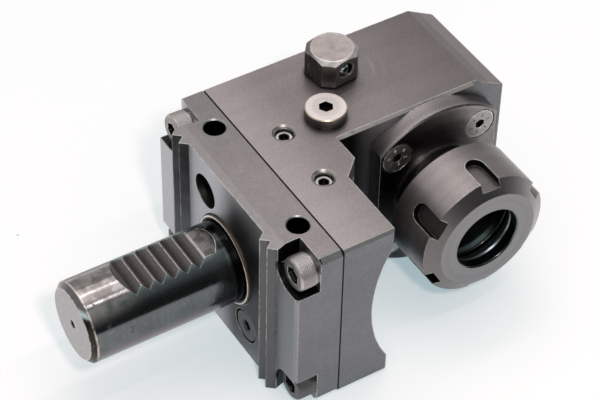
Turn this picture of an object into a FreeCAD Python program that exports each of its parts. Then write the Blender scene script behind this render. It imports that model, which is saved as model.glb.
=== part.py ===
import FreeCAD, Part
import math
import os

# Right-angle collet chuck holder with a racked round shank. Units mm.
# X runs from the shank to the head, the nut points to -Y, Z is up.
# The origin is on the shank's axis, at the plate's main front face.

V = FreeCAD.Vector

# Clearances, radial, and the small edge breaks
RUN = 0.04
LOOSE = 0.1
HALF_MM = 0.5
EDGE = 0.9
SEAM = 0.25

# Shank: ground length, seat in the plate, pivot in the block
SHANK_R = 12.5
SHANK_LEN = 49.8
SHANK_CHAMFER = 1.6
SHANK_SEAT_R = 11.0
PIVOT_R = 9.0
PIVOT_LEN = 12.0
PIVOT_ROOM = 0.6
CENTRE_HOLE_R = 1.2
CENTRE_HOLE_DEPTH = 5.0
CENTRE_MOUTH_R = 1.35
CENTRE_MOUTH_DEPTH = 0.15

# Rack on the shank's top
RACK_PITCH = 4.05
RACK_TEETH = 6
RACK_FIRST_X = -33.0
RACK_ROOT_Z = 9.85
RACK_CREST_Z = 11.15
RACK_RISE = 2.45
RACK_LAND_END_X = -4.8
RACK_CUTTER_R = 8.8

# Base plate with its double-V serration
PLATE_T = 15.0
PLATE_HALF_W = 38.5
HALF_H = 29.0
V_START = 20.5
V_PITCH = 3.95
V_HEIGHT = 2.4
V_COUNT = 2
PLATE_EDGE = 1.5
TOP_HOLE_X = 9.8
TOP_HOLE_Y = 23.0
TOP_HOLE_R = 3.3
TOP_HOLE_DEPTH = 13.0
TOP_HOLE_EDGE = 0.4
DRILL_POINT = 2.0

# Corner screws and their open pockets
SCREW_FROM_SIDE = 4.9
SCREW_FROM_TOP = 6.2
SCREW_Y = PLATE_HALF_W - SCREW_FROM_SIDE
SCREW_Z = HALF_H - SCREW_FROM_TOP
SCREW_SEAT_X = 7.6
M6_R = 3.0
M6_HEAD_R = 5.0
M6_HEAD_H = 6.0
M6_HEAD_EDGE = 0.5
M6_LEN = 16.0
M6_POINT = 0.7
M6_HEX = 5.0
M6_HEX_DEPTH = 3.2
M6_THREAD_DEPTH = 10.0
POCKET_R = 5.6
POCKET_WALL = 1.0
POCKET_SLOPE_X = 3.3

# Coolant ports in the plate: a plain hole and an insert
PORT_Y = 11.6
PORT_Z = 17.7
PORT_HOLE_R = 5.5
PORT_HOLE_DEPTH = 7.0
PORT_CHANNEL_R = 2.5
INSERT_R = 4.9
INSERT_T = 4.0
INSERT_GAP = 0.75
INSERT_SHIFT = 0.45
INLET_MOUTH_R = 2.3
INLET_MOUTH_DEPTH = 0.5
INLET_R = 1.65
INLET_DEPTH = 2.0
INLET_STEP_R = 1.1

# Seals
SEAL_R = 14.2
SEAL_DEPTH = 1.2
SEAL_PROUD = 0.9
SEAL_EDGE = 0.45
SEAL_SQUEEZE = 0.02
TRANSFER_R = 5.1
TRANSFER_DEPTH = 1.4
TRANSFER_WALL = 2.2

# Block: a foot against the plate and a head beside it
FOOT_X = 32.0
FOOT_EDGE = 0.8
FOOT_STEP_X = 37.8
STEP_Y0 = -13.9
STEP_Y1 = -8.4
HEAD_X = 96.4
HEAD_FACE_Y = 0.8
HEAD_CHAMFER_X = 9.4
HEAD_CHAMFER_Z = 5.3
RELIEF_BITE = 6.6

# Chuck: flange against the head, spigot inside it, nose in front
NUT_X = 70.0
FLANGE_R = HALF_H
FLANGE_T = 5.6
FLANGE_FLAT = 20.6
FLANGE_EDGE = 0.5
SPIGOT_R = 18.0
SPIGOT_LEN = 21.0
SPIGOT_EDGE = 0.8
SPIGOT_ROOM = 0.3
NOSE_R = 15.5
NOSE_LEN = 18.7
NOSE_EDGE = 0.9
NOSE_RELIEF = 3.0
TAPER_R = 12.9
TAPER_LEN = 27.0
TAPER_DEG = 8.0
CHUCK_BORE_R = 8.5
REAR_BORE_R = 10.0
REAR_BORE_DEPTH = 8.0

# Screws of the flange, on one bolt circle
CSK_FROM_RIM = 6.22
CSK_CIRCLE_R = FLANGE_R - CSK_FROM_RIM
CSK_DEG = 49.8
CSK_X = CSK_CIRCLE_R * math.cos(math.radians(CSK_DEG))
CSK_Z = CSK_CIRCLE_R * math.sin(math.radians(CSK_DEG))
CSK_HEAD_R = 4.9
CSK_ROOM = 0.3
CSK_THREAD_R = 2.5
CSK_LEN = 16.0
CSK_SINK = 0.25
CSK_POINT = 0.6
CSK_HEX = 3.0
CSK_HEX_DEPTH = 2.0
CSK_THREAD_ROOM = 1.5

# Clamping nut and the ring inside it
NUT_R = 21.0
NUT_LEN = 20.2
NUT_REAR_Y = -11.9
NUT_EDGE = 1.0
NUT_CONE_LEN = 2.7
NUT_RING_R = 16.5
NUT_BORE_R = 10.6
NUT_BORE_EDGE = 0.4
NUT_LIP = 3.4
NUT_RECESS_R = 13.4
NUT_RECESS_LEN = 4.2
SLOT_W = 6.1
SLOT_FLOOR_R = 18.5
SLOT_END_Y = -19.2
SLOT_FIRST_DEG = 88.0
SLOT_COUNT = 6
SLIP_LIP_LEN = 0.8
SLIP_RING_LEN = NUT_RECESS_LEN - SLIP_LIP_LEN
SLIP_WALL = 1.7
SLIP_LIP = 0.3
SLIP_EDGE = 0.9

# Alignment key between plate and block, and the two screws that bear on it
KEY_HALF_Y = 12.3
KEY_COVER = 8.0
KEY_THICK = 5.0
KEY_Z1 = HALF_H - KEY_COVER
KEY_Z0 = KEY_Z1 - KEY_THICK
KEY_X0 = 9.0
KEY_X1 = 28.0
KEY_PLAY = 0.4
KEY_EDGE = 0.6
ADJ_X = 25.85
ADJ_Y = 10.8
ADJ_SUNK = 1.75
ADJ_TOP_Z = HALF_H - ADJ_SUNK
ADJ_MOUTH_R = 3.6
ADJ_HEX = 3.0
ADJ_HEX_DEPTH = 2.4
ADJ_TIP_R = 2.0
ADJ_TIP_LEN = 0.8
ADJ_EDGE = 0.6
TIP_GAP = 0.03

# Coolant nozzle with its ball
NOZZLE_X = 51.8
NOZZLE_FROM_REAR = 11.9
NOZZLE_Y = PLATE_HALF_W - NOZZLE_FROM_REAR
NOZZLE_HALF = 7.0
NOZZLE_CUT = 3.0
NOZZLE_H = 9.4
NOZZLE_GAP = 0.05
NOZZLE_TOP_R = 6.3
NOZZLE_CROWN_R = 12.0
NOZZLE_CROWN_H = 3.3
NOZZLE_TURN = 6.5
NOZZLE_BORE_R = 1.75
NOZZLE_JET_R = 1.2
NOZZLE_SPIGOT_R = 4.5
NOZZLE_SPIGOT_LEN = 10.0
NOZZLE_SPIGOT_EDGE = 0.6
PIN_GROOVE_DEPTH = 1.2
PIN_GROOVE_W = 3.2
SPIGOT_SEAL_DOWN = 3.6
SPIGOT_SEAL_Z = HALF_H - SPIGOT_SEAL_DOWN
SPIGOT_SEAL_DEPTH = 0.8
SPIGOT_SEAL_W = 1.4
OUTLET_Z = 5.2
BALL_R = 2.6
BALL_OUT = 4.1
BALL_BORE_R = 0.8
BALL_LIP = 0.3

# Collar plug with its washer
PLUG_X = 40.0
PLUG_Y = 10.8
PLUG_R = 6.3
PLUG_H = 2.8
PLUG_EDGE = 0.35
PLUG_THREAD_R = 4.0
PLUG_THREAD_LEN = 9.0
PLUG_POINT = 0.7
PLUG_HEX = 4.0
PLUG_HEX_DEPTH = 2.3
WASHER_T = 0.9
WASHER_EDGE = 0.15

# Coolant drillings in the block and the plugs that close them
CHANNEL_R = 2.0
CHANNEL_WALL = 1.05
BLIND_R = 2.75
CROSS_X = 23.0
CROSS_Z = -(SCREW_Z - M6_R - BLIND_R - CHANNEL_WALL)
LONG_Z = -6.0
BLIND_LEN = 5.0
BLIND_SINK = 0.5
BLIND_HEX = 2.5
BLIND_HEX_DEPTH = 2.0
BLINDS = [
    ((CROSS_X, PLATE_HALF_W, CROSS_Z), (0, -1, 0)),
    ((PLUG_X, PLATE_HALF_W, LONG_Z), (0, -1, 0)),
    ((HEAD_X, NOZZLE_Y, LONG_Z), (-1, 0, 0)),
    ((CROSS_X, NOZZLE_Y, -HALF_H), (0, 0, 1)),
]

# Hidden pins
SHANK_PIN_R = 2.5
SHANK_PIN_Z = -20.0
SHANK_PIN_LEN = 12.0
CHUCK_PIN_R = 2.0
CHUCK_PIN_WALL = 2.0
CHUCK_PIN_Z = -(SPIGOT_R + CHUCK_PIN_R + CHUCK_PIN_WALL)
CHUCK_PIN_IN_FLANGE = 3.3
CHUCK_PIN_LEN = 9.0
CHUCK_PIN_DEPTH = 6.0
NOZZLE_PIN_R = 1.5
NOZZLE_PIN_DOWN = 7.0
PIN_Z = HALF_H - NOZZLE_PIN_DOWN
PIN_SINK = 0.4

# Longer than any cut has to be
REACH = 2 * (PLATE_HALF_W + HALF_H)

X_AXIS = (1, 0, 0)
Y_AXIS = (0, 1, 0)
Z_AXIS = (0, 0, 1)
BACK_Y = (0, -1, 0)
BACK_Z = (0, 0, -1)


def box(x0, x1, y0, y1, z0, z1):
    return Part.makeBox(x1 - x0, y1 - y0, z1 - z0, V(x0, y0, z0))


def rod(r, length, start, direction):
    return Part.makeCylinder(r, length, V(*start), V(*direction))


def ring(r_out, r_in, length, start, direction):
    return rod(r_out, length, start, direction).cut(rod(r_in, length, start, direction))


def taper(r0, r1, length, start, direction):
    return Part.makeCone(r0, r1, length, V(*start), V(*direction))


def prism(points, direction):
    wire = Part.makePolygon([V(*p) for p in points] + [V(*points[0])])
    return Part.Face(wire).extrude(V(*direction))


def turned(profile, centre, axis, radial):
    """Solid of revolution from (station, radius) pairs along an axis."""
    a = V(*axis)
    r = V(*radial)
    c = V(*centre)
    pts = [c + a * s + r * q for s, q in profile]
    wire = Part.makePolygon(pts + [pts[0]])
    return Part.Face(wire).revolve(c, a, 360)


def hexagon(across, depth, start, direction):
    """Hexagonal prism for a socket, one corner up or along X."""
    d = V(*direction)
    side = V(*Z_AXIS) if abs(d.z) < 0.5 else V(*X_AXIS)
    other = d.cross(side)
    r = across / math.sqrt(3)
    c = V(*start)
    pts = []
    for i in range(6):
        t = math.radians(60 * i)
        pts.append(c + side * (r * math.cos(t)) + other * (r * math.sin(t)))
    face = Part.Face(Part.makePolygon(pts + [pts[0]]))
    return face.extrude(d * depth)


def fused(shapes):
    first = shapes[0]
    return first.multiFuse(shapes[1:]) if len(shapes) > 1 else first


def long_edge(x0, x1, y, z, leg):
    """Wedge that takes a 45 degree edge off a corner that runs along X."""
    a = math.copysign(leg, y)
    b = math.copysign(leg, z)
    pts = [(x0, y - 2 * a, z + b), (x0, y + a, z - 2 * b), (x0, y + a, z + b)]
    return prism(pts, (x1 - x0, 0, 0))


def seam_groove():
    """Small V all round the joint of plate and block, from the broken edges of both."""
    cuts = []
    for side in (-SEAM, SEAM):
        z = math.copysign(HALF_H, side)
        y = math.copysign(PLATE_HALF_W, side)
        steps = [(-2, side), (2, side), (0, -side)]
        across = [(PLATE_T + SEAM * k, -REACH, z + d) for k, d in steps]
        cuts.append(prism(across, (0, 2 * REACH, 0)))
        upright = [(PLATE_T + SEAM * k, y + d, -REACH) for k, d in steps]
        cuts.append(prism(upright, (0, 0, 2 * REACH)))
    return cuts


def rack_cutter():
    """Everything that is milled off the shank's top: one flat and six teeth."""
    top = SHANK_R + EDGE
    land_x = RACK_LAND_END_X - RACK_CUTTER_R
    flat = box(RACK_FIRST_X, land_x, -top, top, RACK_CREST_Z, top)
    end = rod(RACK_CUTTER_R, top - RACK_CREST_Z, (land_x, 0, RACK_CREST_Z), Z_AXIS)
    fall = RACK_PITCH - RACK_RISE
    slope = fall / (RACK_CREST_Z - RACK_ROOT_Z)
    cuts = [flat, end]
    for i in range(RACK_TEETH):
        x = RACK_FIRST_X + i * RACK_PITCH
        right = x + RACK_RISE
        pts = [(x, -top, RACK_ROOT_Z), (right, -top, RACK_CREST_Z), (right, -top, top)]
        if i == 0:
            pts.append((x - slope * (top - RACK_ROOT_Z), -top, top))
        else:
            pts.append((x - fall, -top, top))
            pts.append((x - fall, -top, RACK_CREST_Z))
        cuts.append(prism(pts, (0, 2 * top, 0)))
    return fused(cuts)


def shank():
    c = SHANK_CHAMFER
    end = PLATE_T + PIVOT_LEN
    profile = [(-SHANK_LEN, 0), (-SHANK_LEN, SHANK_R - c), (-SHANK_LEN + c, SHANK_R)]
    profile += [(0, SHANK_R), (0, SHANK_SEAT_R), (PLATE_T, SHANK_SEAT_R), (PLATE_T, PIVOT_R)]
    profile += [(end - 1, PIVOT_R), (end, PIVOT_R - 1), (end, 0)]
    body = turned(profile, (0, 0, 0), X_AXIS, Z_AXIS)
    start = (-SHANK_LEN, 0, 0)
    hole = rod(CENTRE_HOLE_R, CENTRE_HOLE_DEPTH, start, X_AXIS)
    mouth = taper(CENTRE_MOUTH_R, CENTRE_HOLE_R, CENTRE_MOUTH_DEPTH, start, X_AXIS)
    return body.cut(fused([hole, mouth])).cut(shank_pin()).cut(rack_cutter())


def serration():
    """Front outline of the plate, from the +Y side to the -Y side."""
    half = [(0, V_START)]
    for i in range(V_COUNT):
        y = V_START + i * V_PITCH
        half.append((-V_HEIGHT, y + V_PITCH / 2))
        half.append((0, y + V_PITCH))
    right = [(x, -y) for x, y in half]
    return half[::-1] + right


def corner_pocket(sy, sz):
    """Open pocket of a corner screw, cut through the plate's side and its top or bottom."""
    front = -V_HEIGHT - EDGE
    y = SCREW_Y * sy
    z = SCREW_Z * sz
    out_y = (PLATE_HALF_W + EDGE) * sy
    out_z = (HALF_H + EDGE) * sz
    wall_z = z - POCKET_R * sz
    round_part = rod(POCKET_R, SCREW_SEAT_X - front, (front, y, z), X_AXIS)
    side = box(front, SCREW_SEAT_X, min(y, out_y), max(y, out_y), min(wall_z, out_z), max(wall_z, out_z))
    edge = (V_START + V_COUNT * V_PITCH) * sy
    deep = edge - POCKET_WALL * sy
    pts = [(front, edge, z), (0, edge, z), (POCKET_SLOPE_X, deep, z), (SCREW_SEAT_X, deep, z)]
    pts += [(SCREW_SEAT_X, out_y, z), (front, out_y, z)]
    upper = prism(pts, (0, 0, out_z - z))
    return fused([round_part, side, upper])


def base_plate():
    w = PLATE_HALF_W
    outline = [(PLATE_T, -w), (PLATE_T, w), (EDGE / 3, w)]
    outline.append((0, w - EDGE / 3))
    outline += serration()
    outline += [(0, -w + EDGE), (EDGE, -w)]
    body = prism([(x, y, -HALF_H) for x, y in outline], (0, 0, 2 * HALF_H))
    cuts = [rod(SHANK_SEAT_R, PLATE_T, (0, 0, 0), X_AXIS)] + seam_groove()
    cuts.append(rod(SEAL_R + LOOSE, SEAL_DEPTH, (0, 0, 0), X_AXIS))
    for sz in (-1, 1):
        cuts.append(long_edge(0, PLATE_T, -w, HALF_H * sz, PLATE_EDGE))
    for sy in (-1, 1):
        for sz in (-1, 1):
            cuts.append(corner_pocket(sy, sz))
            cuts.append(rod(M6_R + HALF_MM, PLATE_T, (0, SCREW_Y * sy, SCREW_Z * sz), X_AXIS))
        floor = HALF_H - TOP_HOLE_DEPTH
        cuts.append(rod(TOP_HOLE_R, TOP_HOLE_DEPTH, (TOP_HOLE_X, TOP_HOLE_Y * sy, floor), Z_AXIS))
        mouth = (TOP_HOLE_X, TOP_HOLE_Y * sy, HALF_H)
        cuts.append(taper(TOP_HOLE_R + TOP_HOLE_EDGE, TOP_HOLE_R, TOP_HOLE_EDGE, mouth, BACK_Z))
        tip = (TOP_HOLE_X, TOP_HOLE_Y * sy, floor - DRILL_POINT)
        cuts.append(taper(LOOSE, TOP_HOLE_R, DRILL_POINT, tip, Z_AXIS))
    cuts.append(rod(PORT_HOLE_R, PORT_HOLE_DEPTH, (0, PORT_Y, PORT_Z), X_AXIS))
    seat = (0, -PORT_Y + INSERT_SHIFT, -PORT_Z - INSERT_SHIFT)
    cuts.append(rod(INSERT_R + INSERT_GAP, INSERT_T, seat, X_AXIS))
    cuts.append(rod(PORT_CHANNEL_R, PLATE_T, (0, -PORT_Y, -PORT_Z), X_AXIS))
    rear = (PLATE_T - TRANSFER_DEPTH, -PORT_Y, -PORT_Z)
    cuts.append(rod(TRANSFER_R, TRANSFER_DEPTH, rear, X_AXIS))
    cuts.append(box(KEY_X0, PLATE_T, -KEY_HALF_Y, KEY_HALF_Y, KEY_Z0, KEY_Z1))
    cuts.append(rod(SHANK_PIN_R, HALF_H - SHANK_SEAT_R + 4, (SCREW_SEAT_X, 0, -HALF_H), Z_AXIS))
    return body.cut(fused(cuts))


def shank_seal():
    """Seal ring in the plate's front, tight round the shank's shoulder."""
    r0 = SHANK_R + SEAL_SQUEEZE
    low = SHANK_SEAT_R + SEAL_SQUEEZE
    e = SEAL_EDGE
    profile = [(SEAL_DEPTH, SEAL_R), (-SEAL_PROUD + e, SEAL_R), (-SEAL_PROUD, SEAL_R - e)]
    profile += [(-SEAL_PROUD, r0 + e), (-SEAL_PROUD + e, r0)]
    profile += [(SEAL_SQUEEZE, r0), (SEAL_SQUEEZE, low), (SEAL_DEPTH, low)]
    return turned(profile, (0, 0, 0), X_AXIS, Z_AXIS)


def port_insert():
    start = (0, -PORT_Y, -PORT_Z)
    body = rod(INSERT_R, INSERT_T, start, X_AXIS)
    inlet = rod(INLET_R, INLET_DEPTH, start, X_AXIS)
    step = rod(INLET_STEP_R, INSERT_T, start, X_AXIS)
    mouth = taper(INLET_MOUTH_R, INLET_R, INLET_MOUTH_DEPTH, start, X_AXIS)
    return body.cut(fused([inlet, step, mouth]))


def transfer_seal():
    start = (PLATE_T - TRANSFER_DEPTH, -PORT_Y, -PORT_Z)
    r_out = TRANSFER_R - LOOSE
    return ring(r_out, r_out - TRANSFER_WALL, TRANSFER_DEPTH - SEAL_SQUEEZE, start, X_AXIS)


def alignment_key():
    body = box(KEY_X0, KEY_X1, -KEY_HALF_Y, KEY_HALF_Y, KEY_Z0, KEY_Z1)
    edges = [e for e in body.Edges if min(v.X for v in e.Vertexes) > KEY_X1 - LOOSE]
    return body.makeChamfer(KEY_EDGE, edges)


def shank_pin():
    return rod(SHANK_PIN_R, SHANK_PIN_LEN, (SCREW_SEAT_X, 0, SHANK_PIN_Z), Z_AXIS)


def relief_cutter():
    """Room for the nut: a cylinder about its axis, ending in a 45 degree cone."""
    start = -PLATE_HALF_W - EDGE
    run = STEP_Y1 - STEP_Y0
    radius = NUT_X - FOOT_X + RELIEF_BITE
    tube = rod(radius, STEP_Y0 - start, (NUT_X, start, 0), Y_AXIS)
    cone = taper(radius, radius - run, run, (NUT_X, STEP_Y0, 0), Y_AXIS)
    beyond = box(NUT_X - FLANGE_R + EDGE, REACH, -REACH, REACH, -REACH, REACH)
    return tube.fuse(cone).cut(beyond)


def head_edges():
    """The big chamfers at the head's end and the bevel of its front face, top and bottom."""
    w = PLATE_HALF_W + EDGE
    x0 = HEAD_X - HEAD_CHAMFER_X
    x1 = HEAD_X + EDGE
    cuts = []
    for sz in (-1, 1):
        z = HALF_H * sz
        low = z - HEAD_CHAMFER_Z * sz
        out = z + sz
        pts = [(x0, -w, z), (HEAD_X, -w, low), (x1, -w, low), (x1, -w, out), (x0, -w, out)]
        cuts.append(prism(pts, (0, 2 * w, 0)))
        y = HEAD_FACE_Y
        bevel = [(y, z - EDGE * sz), (y + EDGE, z), (y - EDGE, out), (y - EDGE, z - EDGE * sz)]
        cuts.append(prism([(FOOT_STEP_X, b, c) for b, c in bevel], (x1 - FOOT_STEP_X, 0, 0)))
    return cuts


def block():
    w = PLATE_HALF_W
    outline = [(PLATE_T, -w), (FOOT_X - FOOT_EDGE, -w), (FOOT_X, -w + FOOT_EDGE)]
    outline += [(FOOT_X, STEP_Y0), (FOOT_STEP_X, STEP_Y1), (FOOT_STEP_X, HEAD_FACE_Y), (HEAD_X, HEAD_FACE_Y)]
    outline += [(HEAD_X, w), (PLATE_T, w)]
    body = prism([(x, y, -HALF_H) for x, y in outline], (0, 0, 2 * HALF_H))
    cuts = head_edges() + [relief_cutter()] + plate_side_bores() + chuck_bores() + channels() + seam_groove()
    for sz in (-1, 1):
        cuts.append(long_edge(PLATE_T, FOOT_STEP_X, -w, HALF_H * sz, EDGE))
    return body.cut(fused(cuts))


def plate_side_bores():
    """Pivot, key pocket and the threads of the corner and adjusting screws."""
    cuts = [rod(PIVOT_R + RUN, PIVOT_LEN + PIVOT_ROOM, (PLATE_T, 0, 0), X_AXIS)]
    p = KEY_PLAY
    cuts.append(box(PLATE_T, KEY_X1 + p, -KEY_HALF_Y - p, KEY_HALF_Y + p, KEY_Z0 - p, KEY_Z1 + p))
    for sy in (-1, 1):
        for sz in (-1, 1):
            cuts.append(rod(M6_R, M6_THREAD_DEPTH, (PLATE_T, SCREW_Y * sy, SCREW_Z * sz), X_AXIS))
        cuts.append(rod(M6_R, HALF_H - KEY_Z1, (ADJ_X, ADJ_Y * sy, KEY_Z1), Z_AXIS))
        cuts.append(taper(ADJ_MOUTH_R, M6_R, ADJ_MOUTH_R - M6_R, (ADJ_X, ADJ_Y * sy, HALF_H), BACK_Z))
    return cuts


def chuck_bores():
    """Spigot seat, the room behind it, the flange screws' threads and the pin's hole."""
    cuts = [rod(SPIGOT_R, SPIGOT_LEN, (NUT_X, HEAD_FACE_Y, 0), Y_AXIS)]
    cuts.append(rod(REAR_BORE_R, REAR_BORE_DEPTH, (NUT_X, HEAD_FACE_Y + SPIGOT_LEN, 0), Y_AXIS))
    deep = CSK_LEN - FLANGE_T + CSK_THREAD_ROOM
    for sx in (-1, 1):
        for sz in (-1, 1):
            start = (NUT_X + CSK_X * sx, HEAD_FACE_Y, CSK_Z * sz)
            cuts.append(rod(CSK_THREAD_R, deep, start, Y_AXIS))
    cuts.append(rod(CHUCK_PIN_R, CHUCK_PIN_DEPTH, (NUT_X, HEAD_FACE_Y, CHUCK_PIN_Z), Y_AXIS))
    return cuts


def channels():
    """Coolant way from the plate to the nozzle and the plug, with the plugs' own seats."""
    r = CHANNEL_R
    w = PLATE_HALF_W
    up = HALF_H - LONG_Z
    deep = NOZZLE_SPIGOT_LEN + HALF_MM
    cuts = [rod(PORT_CHANNEL_R, CROSS_X - PLATE_T, (PLATE_T, -PORT_Y, -PORT_Z), X_AXIS)]
    cuts.append(rod(r, PORT_Z + CROSS_Z + r, (CROSS_X, -PORT_Y, -PORT_Z), Z_AXIS))
    cuts.append(rod(r, w + PORT_Y + r, (CROSS_X, -PORT_Y - r, CROSS_Z), Y_AXIS))
    cuts.append(rod(r, LONG_Z + HALF_H, (CROSS_X, NOZZLE_Y, -HALF_H), Z_AXIS))
    cuts.append(rod(r, HEAD_X - CROSS_X, (CROSS_X, NOZZLE_Y, LONG_Z), X_AXIS))
    cuts.append(rod(r, up, (NOZZLE_X, NOZZLE_Y, LONG_Z), Z_AXIS))
    cuts.append(rod(r, up, (PLUG_X, PLUG_Y, LONG_Z), Z_AXIS))
    cuts.append(rod(r, w - PLUG_Y, (PLUG_X, PLUG_Y, LONG_Z), Y_AXIS))
    cuts.append(rod(NOZZLE_SPIGOT_R + RUN, deep, (NOZZLE_X, NOZZLE_Y, HALF_H - deep), Z_AXIS))
    deep = PLUG_THREAD_LEN + 1
    cuts.append(rod(PLUG_THREAD_R, deep, (PLUG_X, PLUG_Y, HALF_H - deep), Z_AXIS))
    cuts.append(rod(NOZZLE_PIN_R, w - NOZZLE_Y, (NOZZLE_X, NOZZLE_Y, PIN_Z), Y_AXIS))
    for start, inward in BLINDS:
        cuts.append(rod(BLIND_R, BLIND_LEN + BLIND_SINK, start, inward))
    return cuts


def blind_plug(start, inward):
    """Channel plug, just under the face, with a hexagon socket."""
    s = V(*start) + V(*inward) * BLIND_SINK
    place = (s.x, s.y, s.z)
    return rod(BLIND_R, BLIND_LEN, place, inward).cut(hexagon(BLIND_HEX, BLIND_HEX_DEPTH, place, inward))


def cap_screw(sy, sz):
    y = SCREW_Y * sy
    z = SCREW_Z * sz
    x0 = SCREW_SEAT_X - M6_HEAD_H
    end = SCREW_SEAT_X + M6_LEN
    c = M6_HEAD_EDGE
    profile = [(x0, 0), (x0, M6_HEAD_R - c), (x0 + c, M6_HEAD_R), (SCREW_SEAT_X, M6_HEAD_R)]
    profile += [(SCREW_SEAT_X, M6_R), (end - M6_POINT, M6_R), (end, M6_R - M6_POINT), (end, 0)]
    body = turned(profile, (0, y, z), X_AXIS, Z_AXIS)
    return body.cut(hexagon(M6_HEX, M6_HEX_DEPTH, (x0, y, z), X_AXIS))


def adjusting_screw(sy):
    y = ADJ_Y * sy
    tip = KEY_Z1 + TIP_GAP
    profile = [(tip, 0), (tip, ADJ_TIP_R), (tip + ADJ_TIP_LEN, M6_R), (ADJ_TOP_Z - ADJ_EDGE, M6_R)]
    profile += [(ADJ_TOP_Z, M6_R - ADJ_EDGE), (ADJ_TOP_Z, 0)]
    body = turned(profile, (ADJ_X, y, 0), Z_AXIS, X_AXIS)
    return body.cut(hexagon(ADJ_HEX, ADJ_HEX_DEPTH, (ADJ_X, y, ADJ_TOP_Z), BACK_Z))


def plug_washer():
    start = (PLUG_X, PLUG_Y, HALF_H)
    return ring(PLUG_R - WASHER_EDGE, PLUG_THREAD_R + LOOSE, WASHER_T, start, Z_AXIS)


def collar_plug():
    z0 = HALF_H + WASHER_T
    z1 = z0 + PLUG_H
    low = HALF_H - PLUG_THREAD_LEN
    r = PLUG_THREAD_R
    profile = [(z1, 0), (z1, PLUG_R - PLUG_EDGE), (z1 - PLUG_EDGE, PLUG_R), (z0, PLUG_R), (z0, r)]
    profile += [(low + PLUG_POINT, r), (low, r - PLUG_POINT), (low, 0)]
    body = turned(profile, (PLUG_X, PLUG_Y, 0), Z_AXIS, X_AXIS)
    return body.cut(hexagon(PLUG_HEX, PLUG_HEX_DEPTH, (PLUG_X, PLUG_Y, z1), BACK_Z))


def nozzle_head(z0, z1):
    """Square with cut corners, its top turned to a crown."""
    h = NOZZLE_HALF
    pts = []
    for i in range(4):
        a = math.radians(90 * i)
        for x, y in ((h, -h + NOZZLE_CUT), (h, h - NOZZLE_CUT)):
            pts.append((x * math.cos(a) - y * math.sin(a), x * math.sin(a) + y * math.cos(a), z0))
    r = NOZZLE_CROWN_R
    crown = [(z0, 0), (z0, r), (z1 - NOZZLE_CROWN_H, r), (z1, NOZZLE_TOP_R), (z1, 0)]
    return prism(pts, (0, 0, z1 - z0)).common(turned(crown, (0, 0, 0), Z_AXIS, X_AXIS))


def nozzle_spigot(top):
    """Turned spigot with a groove for the pin and one for the seal."""
    s = NOZZLE_SPIGOT_R
    low = HALF_H - NOZZLE_SPIGOT_LEN
    pin = s - PIN_GROOVE_DEPTH
    g0 = PIN_Z - PIN_GROOVE_W / 2
    g1 = PIN_Z + PIN_GROOVE_W / 2
    seal = s - SPIGOT_SEAL_DEPTH
    q0 = SPIGOT_SEAL_Z
    q1 = SPIGOT_SEAL_Z + SPIGOT_SEAL_W
    e = NOZZLE_SPIGOT_EDGE
    profile = [(low, 0), (low, s - e), (low + e, s), (g0, s), (g0, pin), (g1, pin), (g1, s)]
    profile += [(q0, s), (q0, seal), (q1, seal), (q1, s), (top, s), (top, 0)]
    return turned(profile, (0, 0, 0), Z_AXIS, X_AXIS)


def nozzle_body():
    z0 = HALF_H + NOZZLE_GAP
    low = HALF_H - NOZZLE_SPIGOT_LEN
    out = (0, 0, HALF_H + OUTLET_Z)
    body = nozzle_head(z0, HALF_H + NOZZLE_H).fuse(nozzle_spigot(z0 + HALF_MM))
    cuts = [rod(NOZZLE_BORE_R, out[2] - low, (0, 0, low), Z_AXIS)]
    cuts.append(Part.makeSphere(NOZZLE_BORE_R, V(*out)))
    cuts.append(rod(NOZZLE_JET_R, BALL_OUT, out, BACK_Y))
    rear = BALL_R - BALL_OUT + LOOSE
    cuts.append(rod(BALL_R + RUN, 2 * BALL_R + LOOSE, (0, rear, out[2]), BACK_Y))
    front = BALL_OUT + BALL_R
    lip = BALL_R - BALL_LIP
    cuts.append(rod(lip, 2, (0, -front + LOOSE, out[2]), BACK_Y))
    cuts.append(taper(lip, BALL_R + BALL_LIP, NOZZLE_HALF - front, (0, -front, out[2]), BACK_Y))
    return placed_on_nozzle(body.cut(fused(cuts)))


def placed_on_nozzle(shape):
    shape.rotate(V(0, 0, 0), V(*Z_AXIS), NOZZLE_TURN)
    shape.translate(V(NOZZLE_X, NOZZLE_Y, 0))
    return shape


def nozzle_ball():
    zo = HALF_H + OUTLET_Z
    ball = Part.makeSphere(BALL_R, V(0, -BALL_OUT, zo))
    drill = rod(BALL_BORE_R, 3 * BALL_R, (0, 1.5 * BALL_R - BALL_OUT, zo), BACK_Y)
    return placed_on_nozzle(ball.cut(drill))


def nozzle_seal():
    start = (0, 0, SPIGOT_SEAL_Z + LOOSE / 2)
    r0 = NOZZLE_SPIGOT_R - SPIGOT_SEAL_DEPTH + SEAL_SQUEEZE
    return placed_on_nozzle(ring(NOZZLE_SPIGOT_R + SEAL_SQUEEZE, r0, SPIGOT_SEAL_W - LOOSE, start, Z_AXIS))


def nozzle_pin():
    y0 = NOZZLE_Y + NOZZLE_SPIGOT_R - PIN_GROOVE_DEPTH + 2 * LOOSE
    return rod(NOZZLE_PIN_R, PLATE_HALF_W - PIN_SINK - y0, (NOZZLE_X, y0, PIN_Z), Y_AXIS)


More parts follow.
